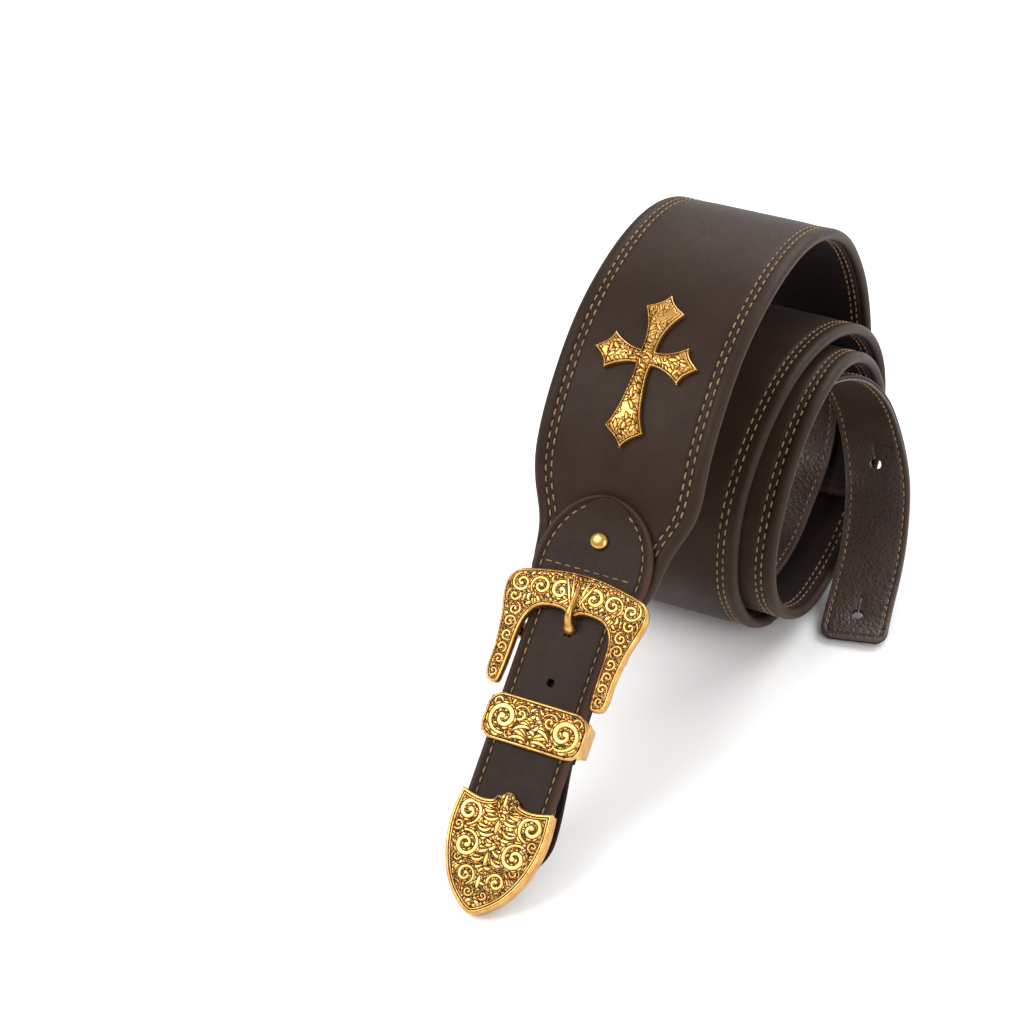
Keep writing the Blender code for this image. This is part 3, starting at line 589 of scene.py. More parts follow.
def strapUpper(u, x, d):
    # round rim, slight swell, grooves under the two thread rows, padded middle
    rowA, rowB = strapSpec["rows"]
    body = roundOver(d, 2.5) - 2.5 + 0.22 * bump(d, 3.4, 1.5)
    sunk = strapSpec["groove"] * (bump(d, rowA, 0.75) + bump(d, rowB, 0.75) + 0.6 * bump(d, 7.3, 1.0))
    return body - sunk + 0.6 * strapSpec["pad"] * smoothStep((d - 10) / 8)


def strapLower(u, x, d):
    # round rim, and a shallow seat for the lining inside it
    return -2.5 - roundOver(d, 2.5) + 0.5 * np.clip((d - 2.5) / 1.5, 0, 1)


ladderSpec = {     # distances from the strap's inner end
    "windows": ((14.0, 44.0), (136.0, 176.0)), "slots": (60.0, 80.0, 100.0, 120.0), "open": 9.0, "half": 17.5}


def ladderHoles():
    # the tail's two windows, with a row of slots between them
    half = ladderSpec["half"]
    windows = [boxHole(strapEnd - b, strapEnd - a, half) for a, b in ladderSpec["windows"]]
    return windows + [lensHole(strapEnd - s, ladderSpec["open"], half) for s in ladderSpec["slots"]]


def strapRows(start, stop, step):
    # even rows, with extra ones that fall on the windows' ends
    rows = np.arange(start, stop, step)
    marks = [strapEnd - s for window in ladderSpec["windows"] for s in window]
    rows = rows[[np.min(np.abs(r - np.array(marks))) > 0.6 for r in rows]]
    return np.sort(np.append(rows, [*marks, stop - 0.1, stop]))


def makeStrap():
    # the padded shell, then the lining panel set a little in from its edge
    rows = strapRows(strapSpec["start"], strapEnd, strapSpec["rowStep"])
    shell = sheetPiece("strapPaddedFace", strapRoute, rows, strapHalf(rows), rimSteps, 15, strapUpper,
                       strapLower, faceLeather, ladderHoles(), ends=(False, True))
    dress(shell, "strap", "face_leather", "strap_face", "strap_core")
    inset = strapSpec["liningInset"]
    rows = strapRows(strapSpec["start"] + 1 + inset, strapEnd - inset, 3.0)

    def lower(u, x, d):
        stitched = bump(d, 1.9, 0.6) + bump(d, 4.5, 0.6)
        rim = strapSpec["liningProud"] * roundOver(d, 0.7) / 0.7
        return -4.5 - rim + 0.3 * stitched - 0.12 * np.clip(d - 6, 0, 1)

    half = strapHalf(rows) - inset
    steps = [0.0, 0.12, 0.4, 0.8, 1.4, 1.9, 2.4, 3.2, 3.9, 4.5, 5.1, 6.0]
    lining = sheetPiece("strapLiningPanel", strapRoute, rows, half, steps, 7,
                        lambda u, x, d: -4.4, lower, liningLeather, ladderHoles())
    dress(lining, "strap", "lining_leather", "strap_lining")


def strapThread():
    # two staggered rows along each edge, on the face and again on the lining
    rowA, rowB = strapSpec["rows"]
    sewn = []
    for inward, shift in ((rowA, 0.5), (rowB, 0.0)):
        u = np.arange(142.0, strapEnd - 6, 1.0)
        start = u[0] / strapSpec["pitch"]
        phase = (np.ceil(start + shift) - shift - start) + 0.5
        for edge in (-1, 1):
            x = edge * (strapHalf(u) - inward)
            level = strapUpper(u, x, np.full_like(u, inward)) + 0.08
            sewn.append(sewRow(*rowOn(strapRoute, u, x, level), strapSpec["pitch"], phase))
    threadPiece("strapFaceThread", sewn, threadLook, "strap")
    sewn = []
    for inward, shift in ((rowA, 0.5), (rowB, 0.0)):
        u = np.arange(148.0, strapEnd - 8, 1.0)
        for edge in (-1, 1):
            x = edge * (strapHalf(u) - inward)
            sewn.append(sewRow(*rowOn(strapRoute, u, x, -4.78, -1.0), strapSpec["pitch"], 0.5 + shift))
    threadPiece("strapLiningThread", sewn, threadLook, "strap")


makeStrap()
strapThread()
print("strap made")


# the tab and billet: two plies with a burnished bead along the edge, lighter there by a painted edge
# highlight

billetSpec = {"half": 19.0, "tabHalf": 25.7, "tabMiddle": 148.0, "apex": 181.5, "row": 4.1, "pitch": 4.3,
              "low": 0.3, "split": 1.85, "top": 3.5, "slot": (118.6, 123.4), "slotHalf": 1.6, "spare": 98.5}
billetSteps = [0.0, 0.08, 0.25, 0.55, 0.9, 1.3, 1.8, 2.3, 2.8, 3.3, 3.7, 4.1, 4.5, 5.0, 5.8, 7.0]


def billetHalf(u):
    # billet, a flare, then the tab's arch as a quarter ellipse; the hidden end narrows to a point
    reach = np.clip((u - billetSpec["tabMiddle"]) / (billetSpec["apex"] - billetSpec["tabMiddle"]), 0, 1)
    tab = billetSpec["tabHalf"] * np.maximum(1 - reach**2.05, 0) ** 0.52
    run = billetSpec["half"] + (billetSpec["tabHalf"] - billetSpec["half"]) * smoothStep((u - 127) / 19)
    point = np.clip((u - 4) / 38, 0, 1)
    return np.minimum(np.minimum(run, tab), billetSpec["half"] * (1 - (1 - point) ** 1.7) + 0.05
                      + 20 * (u > 42))


def billetUpper(u, x, d):
    # bead along the edge, groove under the thread, and a slightly domed middle
    top = billetSpec["top"] - 1.0 + roundOver(d, 1.0)
    return top + 0.22 * bump(d, 1.7, 0.9) - 0.32 * bump(d, billetSpec["row"], 0.55) - 0.12 * bump(d, 3.0, 0.6)


def billetSeam(u, x, d):
    # where the two plies meet, opened a little at the edge
    return billetSpec["split"] + 0.35 * np.clip(1 - d / 0.5, 0, 1)


def billetSlots():
    # the spare hole and the slot that the prong comes through
    return [roundHole(billetSpec["spare"], 0.0, 1.75, 0.5),
            boxHole(*billetSpec["slot"], billetSpec["slotHalf"])]


def makeBillet():
    # rows are close where the holes are and round the tab
    fine = np.concatenate([np.arange(96, 101.1, 0.45), np.arange(114.8, 127.6, 0.6)])
    rows = np.concatenate([np.arange(4.1, 96, 1.6), fine, np.arange(101.6, 114.6, 1.3),
                           np.arange(128.5, 172, 1.2), np.arange(172, 181.5, 0.45), [181.45]])
    rows = np.unique(np.append(rows, billetSpec["slot"]))
    upper = sheetPiece("billetTopPly", strapRoute, rows, billetHalf(rows), billetSteps, 38, billetUpper,
                       billetSeam, tabLeather, billetSlots(), ends=(True, False))
    lower = sheetPiece("billetUnderPly", strapRoute, rows, billetHalf(rows), [0.0, 0.15, 0.5, 1.2, 3.0], 36,
                       lambda u, x, d: billetSpec["split"] - 0.25 * np.clip(1 - d / 0.5, 0, 1),
                       lambda u, x, d: billetSpec["low"] + 0.6 - roundOver(d, 0.6), liningLeather,
                       billetSlots(), ends=(True, False))
    for piece, node, slot in ((upper, "billet_face", "face_leather"),
                              (lower, "billet_lining", "lining_leather")):
        dress(piece, "strap", slot, node)


def billetThread():
    # a row along both edges and round the tab, at one distance square to the edge, then one straight across
    row, pitch = billetSpec["row"], billetSpec["pitch"]
    sewn = []
    u = np.arange(46.0, 177.0, 0.5)
    for edge in (-1, 1):
        half = billetHalf(u)
        slope = np.gradient(half, u)
        x = edge * (half - row * np.sqrt(1 + np.minimum(slope**2, 9)))
        good = edge * x > 3
        level = billetUpper(u, x, np.full_like(u, row)) + 0.08
        points, out = rowOn(strapRoute, u[good], x[good], level[good])
        sewn.append(sewRow(points, out, pitch, 0.5, 3.1, 0.36, 0.3))
    x = np.linspace(-billetSpec["tabHalf"] + 5, billetSpec["tabHalf"] - 5, 60)
    level = np.full_like(x, billetSpec["top"])
    sewn.append(sewRow(*rowOn(strapRoute, np.full_like(x, 147.3), x, level), pitch, 0.5, 3.1, 0.36, 0.3))
    threadPiece("billetThread", sewn, threadLook, "strap")


makeBillet()
billetThread()


# the end piece: one strip folded round the bar

barSpec = {"u": 117.0, "height": -4.4, "radius": 2.0}
endSpec = {"ply": 1.8, "dip": -12.6, "flap": -4.2, "gap": 0.3, "half": 18.8, "row": 3.2, "pitch": 4.3,
           "window": 13, "windowHalf": 4.2}


def endRoute():
    # side view as (u, height): a hanging end, the upper ply, half a turn round the bar, a short flap
    turn = barSpec["radius"] + endSpec["gap"] + endSpec["ply"]
    middle = -(endSpec["gap"] * 2 + endSpec["ply"] + barSpec["radius"])
    dip, flap, barAt = endSpec["dip"], endSpec["flap"], barSpec["u"]
    upper = [(18, dip + 0.8), (24, dip + 0.2), (30, dip), (38, dip + 0.4), (45, -10.9), (52, -8.4),
             (58, -5.6), (62, -3.6), (66, -1.6), (70, -0.3), (84, -0.3), (98, -0.3), (108, -0.3)]
    fold = [(barAt + turn * math.sin(t), middle + turn * math.cos(t)) for t in np.linspace(0, math.pi, 9)]
    lower = [(110, -7.9), (105, -6.0), (101, -4.6), (97, flap), (88, flap), (79, flap), (70, flap)]
    u, w = np.array(upper + fold + lower).T
    route = makeRoute([tuple(p) for p in bend(strapRoute, u, 0.0, w)])
    lowest = bend(strapRoute, np.array([barAt + turn]), 0.0, np.array([middle]))[0]
    along = np.linspace(0, route["length"], 4000)
    return route, float(along[np.argmin(np.linalg.norm(bend(route, along, 0.0, 0.0) - lowest, axis=1))])


def makeEndPiece():
    # one sheet on the folded route, with a window in the fold for the prong
    route, middle = endRoute()
    window, row, ply = endSpec["window"], endSpec["row"], endSpec["ply"]
    rows = np.unique(np.concatenate([np.arange(0.0, 22, 0.6), np.arange(22, middle - 14, 2.0),
                                     np.arange(middle - 14, middle + 14, 0.7),
                                     [middle - window, middle + window],
                                     np.arange(middle + 14, route["length"], 2.0), [route["length"]]]))
    tip = np.clip(rows / 22, 0, 1)
    half = endSpec["half"] * np.maximum(1 - (1 - tip) ** 2.2, 0) ** 0.6 + 0.05
    holes = [roundHole(12.0, 0.0, 2.8, 0.45), boxHole(14.0, 23.0, 0.55),
             boxHole(middle - window, middle + window, endSpec["windowHalf"])]
    steps = [0.0, 0.1, 0.35, 0.8, 1.5, 2.5, 3.2, 4.0, 5.2]
    piece = sheetPiece("endPieceStrip", route, rows, half, steps, 44,
                       lambda u, x, d: roundOver(d, 0.8) - 0.8 - 0.2 * bump(d, row, 0.5),
                       lambda u, x, d: 0.8 - ply - roundOver(d, 0.8), liningLeather, holes)
    dress(piece, "strap", "lining_leather", "end_piece")
    u = np.arange(26.0, middle - 18, 1.0)
    sewn = []
    for edge in (-1, 1):
        for level, side in ((0.0, 1.0), (-ply, -1.0)):
            x = np.full_like(u, edge * (endSpec["half"] - row))
            sewn.append(sewRow(*rowOn(route, u, x, level, side), endSpec["pitch"], 0.5, 3.0, 0.34, 0.26))
    threadPiece("endPieceThread", sewn, threadLook, "strap")


makeEndPiece()
print("billet and end piece made")


# the tail: two glued plies, one row of thread along each edge, two button holes

tailSpec = {"half": 15.5, "ply": 1.4, "row": 2.9, "pitch": 4.1, "holes": (16.0, 98.0),
            "slit": (2, 11), "corner": 7.0, "start": 10}


def tailHalf(u):
    # full width with a quarter circle at each corner, larger ones at the hidden end
    half, corner, length = tailSpec["half"], tailSpec["corner"], tailRoute["length"]
    first = tailSpec["start"]
    into = np.clip(u - (length - corner), 0, corner)
    start = np.clip(first - u, 0, first)
    return (half - corner + np.sqrt(corner**2 - into**2) - first
            + np.sqrt(np.maximum(first**2 - start**2, 0)))


def tailHoles():
    # button holes, each a round hole with a slit behind it
    holes = []
    near, far = tailSpec["slit"]
    for s in tailSpec["holes"]:
        at = tailRoute["length"] - s
        holes += [roundHole(at, 0.0, 2.8, 0.35), boxHole(at - far, at - near, 0.5)]
    return holes


def tailPucker(u, x):
    # the leather sinks a little round each button hole and its slit
    total = 0
    for s in tailSpec["holes"]:
        at = tailRoute["length"] - s
        total = total + 0.5 * np.exp(-((u - at) / 5) ** 2 - (x / 4.5) ** 2)
        total = total + 0.3 * np.exp(-((u - at + 8) / 5) ** 2 - (x / 2.2) ** 2)
    return total


def makeTail():
    # two plies over the same rows, which are close at the holes and the rounded end
    length, ply, row = tailRoute["length"], tailSpec["ply"], tailSpec["row"]
    near = [np.arange(length - s - 13, length - s + 5, 0.6) for s in tailSpec["holes"]]
    rest = [r for r in np.arange(0, length, 2.2)
            if all(not (-14 < r - (length - s) < 6) for s in tailSpec["holes"])]
    rounded = np.arange(length - tailSpec["corner"], length, 0.5)
    rows = np.unique(np.concatenate([*near, rest, rounded, [length]]))
    steps = [0.0, 0.06, 0.2, 0.45, 0.8, 1.3, 1.8, 2.3, 2.9, 3.5, 4.2]
    pieces = {
        "tailOuterPly": (lambda u, x, d: roundOver(d, 0.7) - 0.7 - 0.25 * bump(d, row, 0.5),
                         lambda u, x, d: 0.12 - ply + 0.2 * np.clip(1 - d / 0.3, 0, 1),
                         faceLeather, "tail_face", "face_leather"),
        "tailInnerPly": (lambda u, x, d: -ply + 0.02 - 0.2 * np.clip(1 - d / 0.3, 0, 1),
                         lambda u, x, d: 0.7 - 2 * ply - roundOver(d, 0.7) + 0.25 * bump(d, row, 0.5)
                         + tailPucker(u, x), tailLeather, "tail_lining", "tail_leather")}
    for name, (upper, lower, look, node, slot) in pieces.items():
        piece = sheetPiece(name, tailRoute, rows, tailHalf(rows), steps, 38, upper, lower, look, tailHoles())
        dress(piece, "strap", slot, node)


def tailThread():
    # one row along each edge, on both faces
    u = np.arange(8.0, tailRoute["length"] - 5, 1.0)
    sewn = []
    for edge in (-1, 1):
        x = edge * (tailHalf(u) - tailSpec["row"])
        for level, side in ((-0.2, 1.0), (0.2 - 2 * tailSpec["ply"], -1.0)):
            sewn.append(sewRow(*rowOn(tailRoute, u, x, level, side), tailSpec["pitch"], 0.5, 3.0, 0.38, 0.3))
    threadPiece("tailThread", sewn, threadLook, "strap")


makeTail()
tailThread()
print("tail made")


# engraved metal: a plan outline, a height over it and scrollwork raised out of a dark ground

def toOutline(u, x, outline):
    # distance to a closed outline, its nearest point, and whether each place lies inside
    a, b = outline, np.roll(outline, -1, axis=0)
    best, nearU, nearX = np.full(u.shape, 1e9), u.copy(), x.copy()
    inside = np.zeros(u.shape, bool)
    for (au, ax), (bu, bx) in zip(a, b):
        du, dx = bu - au, bx - ax
        t = np.clip(((u - au) * du + (x - ax) * dx) / max(du * du + dx * dx, 1e-9), 0, 1)
        pu, px = au + t * du, ax + t * dx
        gap = (u - pu) ** 2 + (x - px) ** 2
        closer = gap < best
        best = np.where(closer, gap, best)
        nearU, nearX = np.where(closer, pu, nearU), np.where(closer, px, nearX)
        if ax != bx:
            crosses = ((ax > x) != (bx > x)) & (u < au + (x - ax) / (bx - ax) * du)
            inside ^= crosses
    return np.sqrt(best), nearU, nearX, inside


def metalPlate(name, outline, step, upper, lower, relief, look):
    # a grid over the outline's box; its rim vertices move onto the outline
    low, high = outline.min(axis=0) - step, outline.max(axis=0) + step
    u, x = np.meshgrid(np.arange(low[0], high[0] + step, step), np.arange(low[1], high[1] + step, step),
                       indexing="ij")
    middle = toOutline(u[:-1, :-1] + step / 2, x[:-1, :-1] + step / 2, outline)[3]
    used = np.zeros(u.shape, int)
    for rows in (slice(0, -1), slice(1, None)):
        for columns in (slice(0, -1), slice(1, None)):
            used[rows, columns] += middle
    d, nearU, nearX, _ = toOutline(u, x, outline)
    rim = (used > 0) & (used < 4)
    u, x, d = np.where(rim, nearU, u), np.where(rim, nearX, x), np.where(rim, 0, d)
    raised = relief(u, x, d)
    top = bend(strapRoute, u, x, upper(u, x, d, raised)).reshape(-1, 3)
    under = bend(strapRoute, u, x, lower(u, x, d)).reshape(-1, 3)
    quads = closeSheet(cellFaces(*u.shape, middle), u.size)
    marks = {"relief": np.concatenate([raised.ravel(), np.ones(u.size)])}
    return putMesh(name, np.concatenate([top, under]), quads, look, marks, sharp=62)


def spiralStroke(cu, cx, radius, hand, start, turns=1.7):
    # a line that winds in to a round eye, swelling in its middle
    t = np.linspace(0, 1, 44)
    r = radius * (1 - t) ** 0.85 + 0.12 * radius
    angle = start + hand * 2 * np.pi * turns * t
    width = radius * (0.10 + 0.075 * np.sin(np.pi * np.clip(t * 1.05, 0, 1)))
    width[-3:] = radius * 0.2
    return np.stack([cu + r * np.cos(angle), cx + r * np.sin(angle)], axis=1), width


def leafStroke(u, x, heading, length, curl, width):
    # a short leaf that bends as it goes and ends in a point
    t = np.linspace(0, 1, 9)
    angle = heading + curl * t
    step = length / 8
    points = np.stack([u + np.cumsum(np.cos(angle)) * step, x + np.cumsum(np.sin(angle)) * step], axis=1)
    return points, width * np.sin(np.pi * (0.18 + 0.8 * t)) + 0.05


def scroll(cu, cx, radius, hand, start):
    # leaves that spring outwards and inwards from a spiral, with the spiral over them
    strokes = []
    for k in range(11):
        angle = start + hand * (0.1 + k * 0.55)
        r = radius * (1.02 - 0.045 * k)
        strokes.append(leafStroke(cu + r * math.cos(angle), cx + r * math.sin(angle),
                                  angle + hand * 0.95, radius * (0.72 - 0.02 * k), hand * 1.5,
                                  0.12 + radius * 0.105))
    for k in range(7):
        angle = start + hand * (0.7 + k * 0.85)
        r = radius * (0.60 - 0.04 * k)
        strokes.append(leafStroke(cu + r * math.cos(angle), cx + r * math.sin(angle),
                                  angle + hand * 1.9, radius * 0.32, -hand * 1.4, 0.08 + radius * 0.065))
    return strokes + [spiralStroke(cu, cx, radius * 0.94, hand, start, 1.45)]


def sprays(starts, length, width):
    # fans of long curved leaves: (u, x, heading, curl) each, three leaves deep
    strokes = []
    for u, x, heading, curl in starts:
        for k in range(3):
            strokes.append(leafStroke(u, x, heading + 0.3 * (k - 1), length * (1 - 0.16 * abs(k - 1)),
                                      curl * (1 + 0.2 * k), width))
    return strokes


def filling(rng, count, low, high, size):
    # curled leaves strewn thickly over the ground behind the scrolls
    strokes = []
    for _ in range(count):
        u, x = rng.uniform(low, high)
        strokes.append(leafStroke(u, x, rng.uniform(0, 6.28), size * rng.uniform(0.7, 1.4),
                                  rng.uniform(-2.4, 2.4), size * rng.uniform(0.16, 0.26)))
    return strokes


def drawStrokes(u, x, strokes, ground=0.45, line=0.25):
    # height 0 to 1 at each place: rounded strokes, each over the last one, with a cut line round it
    flatU, flatX, flat = u.ravel(), x.ravel(), np.full(u.size, ground)
    for points, width in strokes:
        reach = width.max() + line
        low, high = points.min(axis=0) - reach, points.max(axis=0) + reach
        near = np.nonzero((flatU > low[0]) & (flatU < high[0]) & (flatX > low[1]) & (flatX < high[1]))[0]
        if not len(near):
            continue
        place = np.stack([flatU[near], flatX[near]], axis=1)[:, None]
        a, b = points[:-1][None], points[1:][None]
        span = np.maximum(np.sum((b - a) ** 2, axis=2), 1e-9)
        t = np.clip(np.sum((place - a) * (b - a), axis=2) / span, 0, 1)
        gap = np.linalg.norm(place - a - (b - a) * t[..., None], axis=2)
        past = np.min(gap - (width[:-1] + (width[1:] - width[:-1]) * t), axis=1)
        level = np.clip(-past / 0.2, 0, 1) * 0.3 + 0.7 * np.clip(0.5 - past / 0.12, 0, 1)
        covered = past < line
        flat[near[covered]] = level[covered]
    return flat.reshape(u.shape)


def mirrorStrokes(strokes):
    return strokes + [(points * [1, -1], width) for points, width in strokes]


def band(d, low, high, soft=0.12):
    # 1 between two distances from the edge, with soft sides
    return np.clip((d - low) / soft + 0.5, 0, 1) * np.clip((high - d) / soft + 0.5, 0, 1)


def closeOutline(side):
    # a closed outline from its +x half, whose first and last points lie on the middle line
    return np.vstack([side, (side * [1, -1])[::-1][1:-1]])


# buckle frame: horseshoe with a plain raised border and scrollwork between

frameSpec = {"low": 3.8, "top": 8.3, "round": 1.5, "border": 1.15, "step": 0.22, "depth": 0.42}
frameOuter = [(91.8, 23.4), (92.6, 25.6), (95.5, 27.0), (103, 27.2), (112, 27.9), (120, 29.2), (127, 31.0),
              (132.5, 31.7), (136.5, 30.9), (139.6, 28.4), (141.6, 23.5), (143.3, 16), (144.6, 8), (145.0, 0)]
frameInner = [(91.8, 23.0), (92.1, 21.2), (95, 20.2), (104, 19.7), (113, 19.6), (119.5, 19.0), (124, 17.2),
              (126.9, 14.2), (128.1, 10.4), (128.3, 6.5), (127.7, 3.4), (126.6, 1.6), (126.4, 0)]


def frameStrokes():
    # scrolls down each arm and over the corner, a larger one and long leaves at the middle
    strokes = filling(np.random.default_rng(5), 620, (91, 18), (145, 32), 2.8)
    strokes += filling(np.random.default_rng(6), 420, (126, 0), (145, 26), 2.8)
    for k, u in enumerate((123.0, 117.4, 112.0, 106.6, 101.4, 96.2)):
        hand = 1 if k % 2 else -1
        strokes += scroll(u, 23.5 + 0.35 * max(0, 2 - k) + 0.3 * hand, 2.9 - 0.07 * k, hand, 1.2 + 2.2 * k)
    strokes += scroll(128.6, 25.8, 3.4, -1, 2.2) + scroll(134.6, 24.6, 4.0, 1, 0.4)
    strokes += scroll(135.2, 16.2, 4.2, -1, 2.4)
    strokes += sprays([(129.0, 1.6, 0.55, 0.5)], 10, 0.6)
    strokes += scroll(135.6, 7.4, 5.0, 1, 3.4)
    for k, heading in enumerate((0.34, 0.16, 0.02)):
        strokes.append(leafStroke(129.4, 1.3 - 0.4 * k, heading, 13.5 - 1.0 * k, 0.12, 0.55))
    return mirrorStrokes(strokes)


def makeFrame():
    outer, inner = splineThrough(frameOuter, 0.4), splineThrough(frameInner, 0.4)
    outline = np.vstack([outer * [1, -1], outer[::-1][1:], inner[1:], (inner * [1, -1])[::-1][1:]])
    strokes = frameStrokes()

    def relief(u, x, d):
        plain = band(d, -1, frameSpec["border"], 0.1)
        line = band(d, frameSpec["border"] + 0.42, frameSpec["border"] + 0.68, 0.12) * 0.8
        field = drawStrokes(u, x, strokes) * band(d, frameSpec["border"] + 0.8, 99, 0.2)
        return np.maximum(np.maximum(plain, line), field)

    def upper(u, x, d, raised):
        dome = frameSpec["top"] - frameSpec["round"] + roundOver(d, frameSpec["round"])
        return dome + 0.3 * np.clip(d / 5, 0, 1) - frameSpec["depth"] * (1 - raised)

    piece = metalPlate("buckleFrameCast", outline, frameSpec["step"], upper,
                       lambda u, x, d: frameSpec["low"] + 0.5 - roundOver(d, 0.5), relief, engravedGold)
    dress(piece, "buckle", "engraved_gold", "buckle_frame")


def makeLugs():
    # rounded ears under the arms that carry the bar's ends
    barU, barW = barSpec["u"], barSpec["height"]
    for edge in (-1, 1):
        v = np.linspace(-1, 1, 9)
        turn = np.linspace(0, np.pi, 13)
        profile = np.stack([barU - 3.4 * np.cos(turn), barW - 3.2 * np.sin(turn)], axis=1)
        profile = np.vstack([[barU - 3.4, 4.6], profile, [barU + 3.4, 4.6]])
        x = edge * (22.2 + 1.6 * v)
        pinch = 1 - 0.06 * np.abs(v) ** 6
        u = barU + (profile[:, :1] - barU) * pinch
        w = barW + (profile[:, 1:] - barW) * pinch
        grid = bend(strapRoute, u, x, w)
        core = bend(strapRoute, np.full(u.shape, barU), x, 0.0)
        rows, columns = u.shape
        quads = cellFaces(rows, columns)
        quads = quads if edge > 0 else quads[:, ::-1]
        ends = []
        for column in (0, columns - 1):
            i = np.arange(rows - 1)
            ring = np.stack([i * columns + column, (i + 1) * columns + column], axis=1)
            fan = np.stack([ring[:, 0], ring[:, 1], ring[:, 1] + u.size, ring[:, 0] + u.size], axis=1)
            ends.append(fan if (column == 0) == (edge > 0) else fan[:, ::-1])
        points = np.concatenate([grid.reshape(-1, 3), core.reshape(-1, 3)])
        lug = putMesh(f"buckleLug{'Left' if edge < 0 else 'Right'}", points, np.vstack([quads, *ends]),
                      plainGold, sharp=40)
        dress(lug, "buckle", "plain_gold")


# prong: a drop-shaped tongue that rises through the billet and lies on the frame

prongLine = [     # (u, height, half width, half thickness)
    (118.2, -2.6, 1.2, 1.0), (119.6, -1.2, 1.3, 1.1), (120.6, 0.4, 1.4, 1.2), (120.9, 1.6, 2.2, 1.8),
    (121.3, 2.8, 3.0, 2.4), (122.0, 4.4, 3.1, 2.4), (123.0, 6.4, 2.6, 1.9), (124.3, 8.8, 1.9, 1.4),
    (126.4, 10.6, 1.45, 1.2), (129.5, 10.9, 1.25, 1.15), (134.0, 10.5, 1.1, 0.95), (138.0, 9.9, 0.85, 0.7),
    (139.6, 9.5, 0.25, 0.2),
]


def makeProng():
    # the tongue is an ellipse carried along its line; the ring is a section turned round the bar
    line = splineThrough(prongLine, 0.35)
    along = unit(np.gradient(line[:, :2], axis=0))
    turn = np.linspace(0, 2 * np.pi, 21)
    u = line[:, :1] - along[:, 1:] * line[:, 3:] * np.sin(turn)
    w = line[:, 1:2] + along[:, :1] * line[:, 3:] * np.sin(turn)
    x = line[:, 2:3] * np.cos(turn) * np.ones_like(u)
    grid = bend(strapRoute, u, x, w)
    stem = putMesh("prongTongue", grid, cellFaces(*u.shape)[:, ::-1], plainGold)
    angle = np.linspace(0, 2 * np.pi, 33)
    section = [(3.9, -3.0), (4.0, -2.4), (4.0, 2.4), (3.9, 3.0), (2.4, 3.0), (2.3, 2.6), (2.3, -2.6),
               (2.4, -3.0), (3.9, -3.0)]
    radius, side = np.array(section).T
    ring = bend(strapRoute, barSpec["u"] + radius * np.cos(angle[:, None]), side,
                barSpec["height"] + radius * np.sin(angle[:, None]))
    loop = putMesh("prongRing", ring, cellFaces(*ring.shape[:2])[:, ::-1], plainGold, sharp=40)
    dress(stem, "prong", "plain_gold", "buckle_prong")
    dress(loop, "prong", "plain_gold")


# keeper: an engraved face plate on a plain band that goes round the leather

keeperSpec = {"middle": 79.5, "halfLength": 10.0, "half": 22.6, "corner": 7.0, "low": 4.0, "top": 5.6,
              "crown": 1.3, "border": 1.1, "step": 0.22, "depth": 0.45, "band": 1.25}


def keeperStrokes():
    middle = keeperSpec["middle"]
    strokes = filling(np.random.default_rng(8), 480, (middle - 10, 0), (middle + 10, 22.5), 3.0)
    strokes += scroll(middle - 5.6, 8.4, 2.8, 1, 0.4) + scroll(middle + 5.6, 18.0, 2.8, 1, 2.0)
    strokes += scroll(middle - 5.0, 18.8, 2.9, -1, 1.0)
    strokes += sprays([(middle - 7.4, 0.6, 0.75, 0.9), (middle - 2, 0.5, 0.95, 1.0)], 10, 0.68)
    strokes += sprays([(middle + 7.4, 0.8, 2.4, -1.2)], 6.5, 0.6)
    strokes += scroll(middle + 3.0, 6.6, 3.5, 1, 5.2) + scroll(middle - 0.2, 13.6, 6.3, -1, 3.4)
    return mirrorStrokes(strokes)


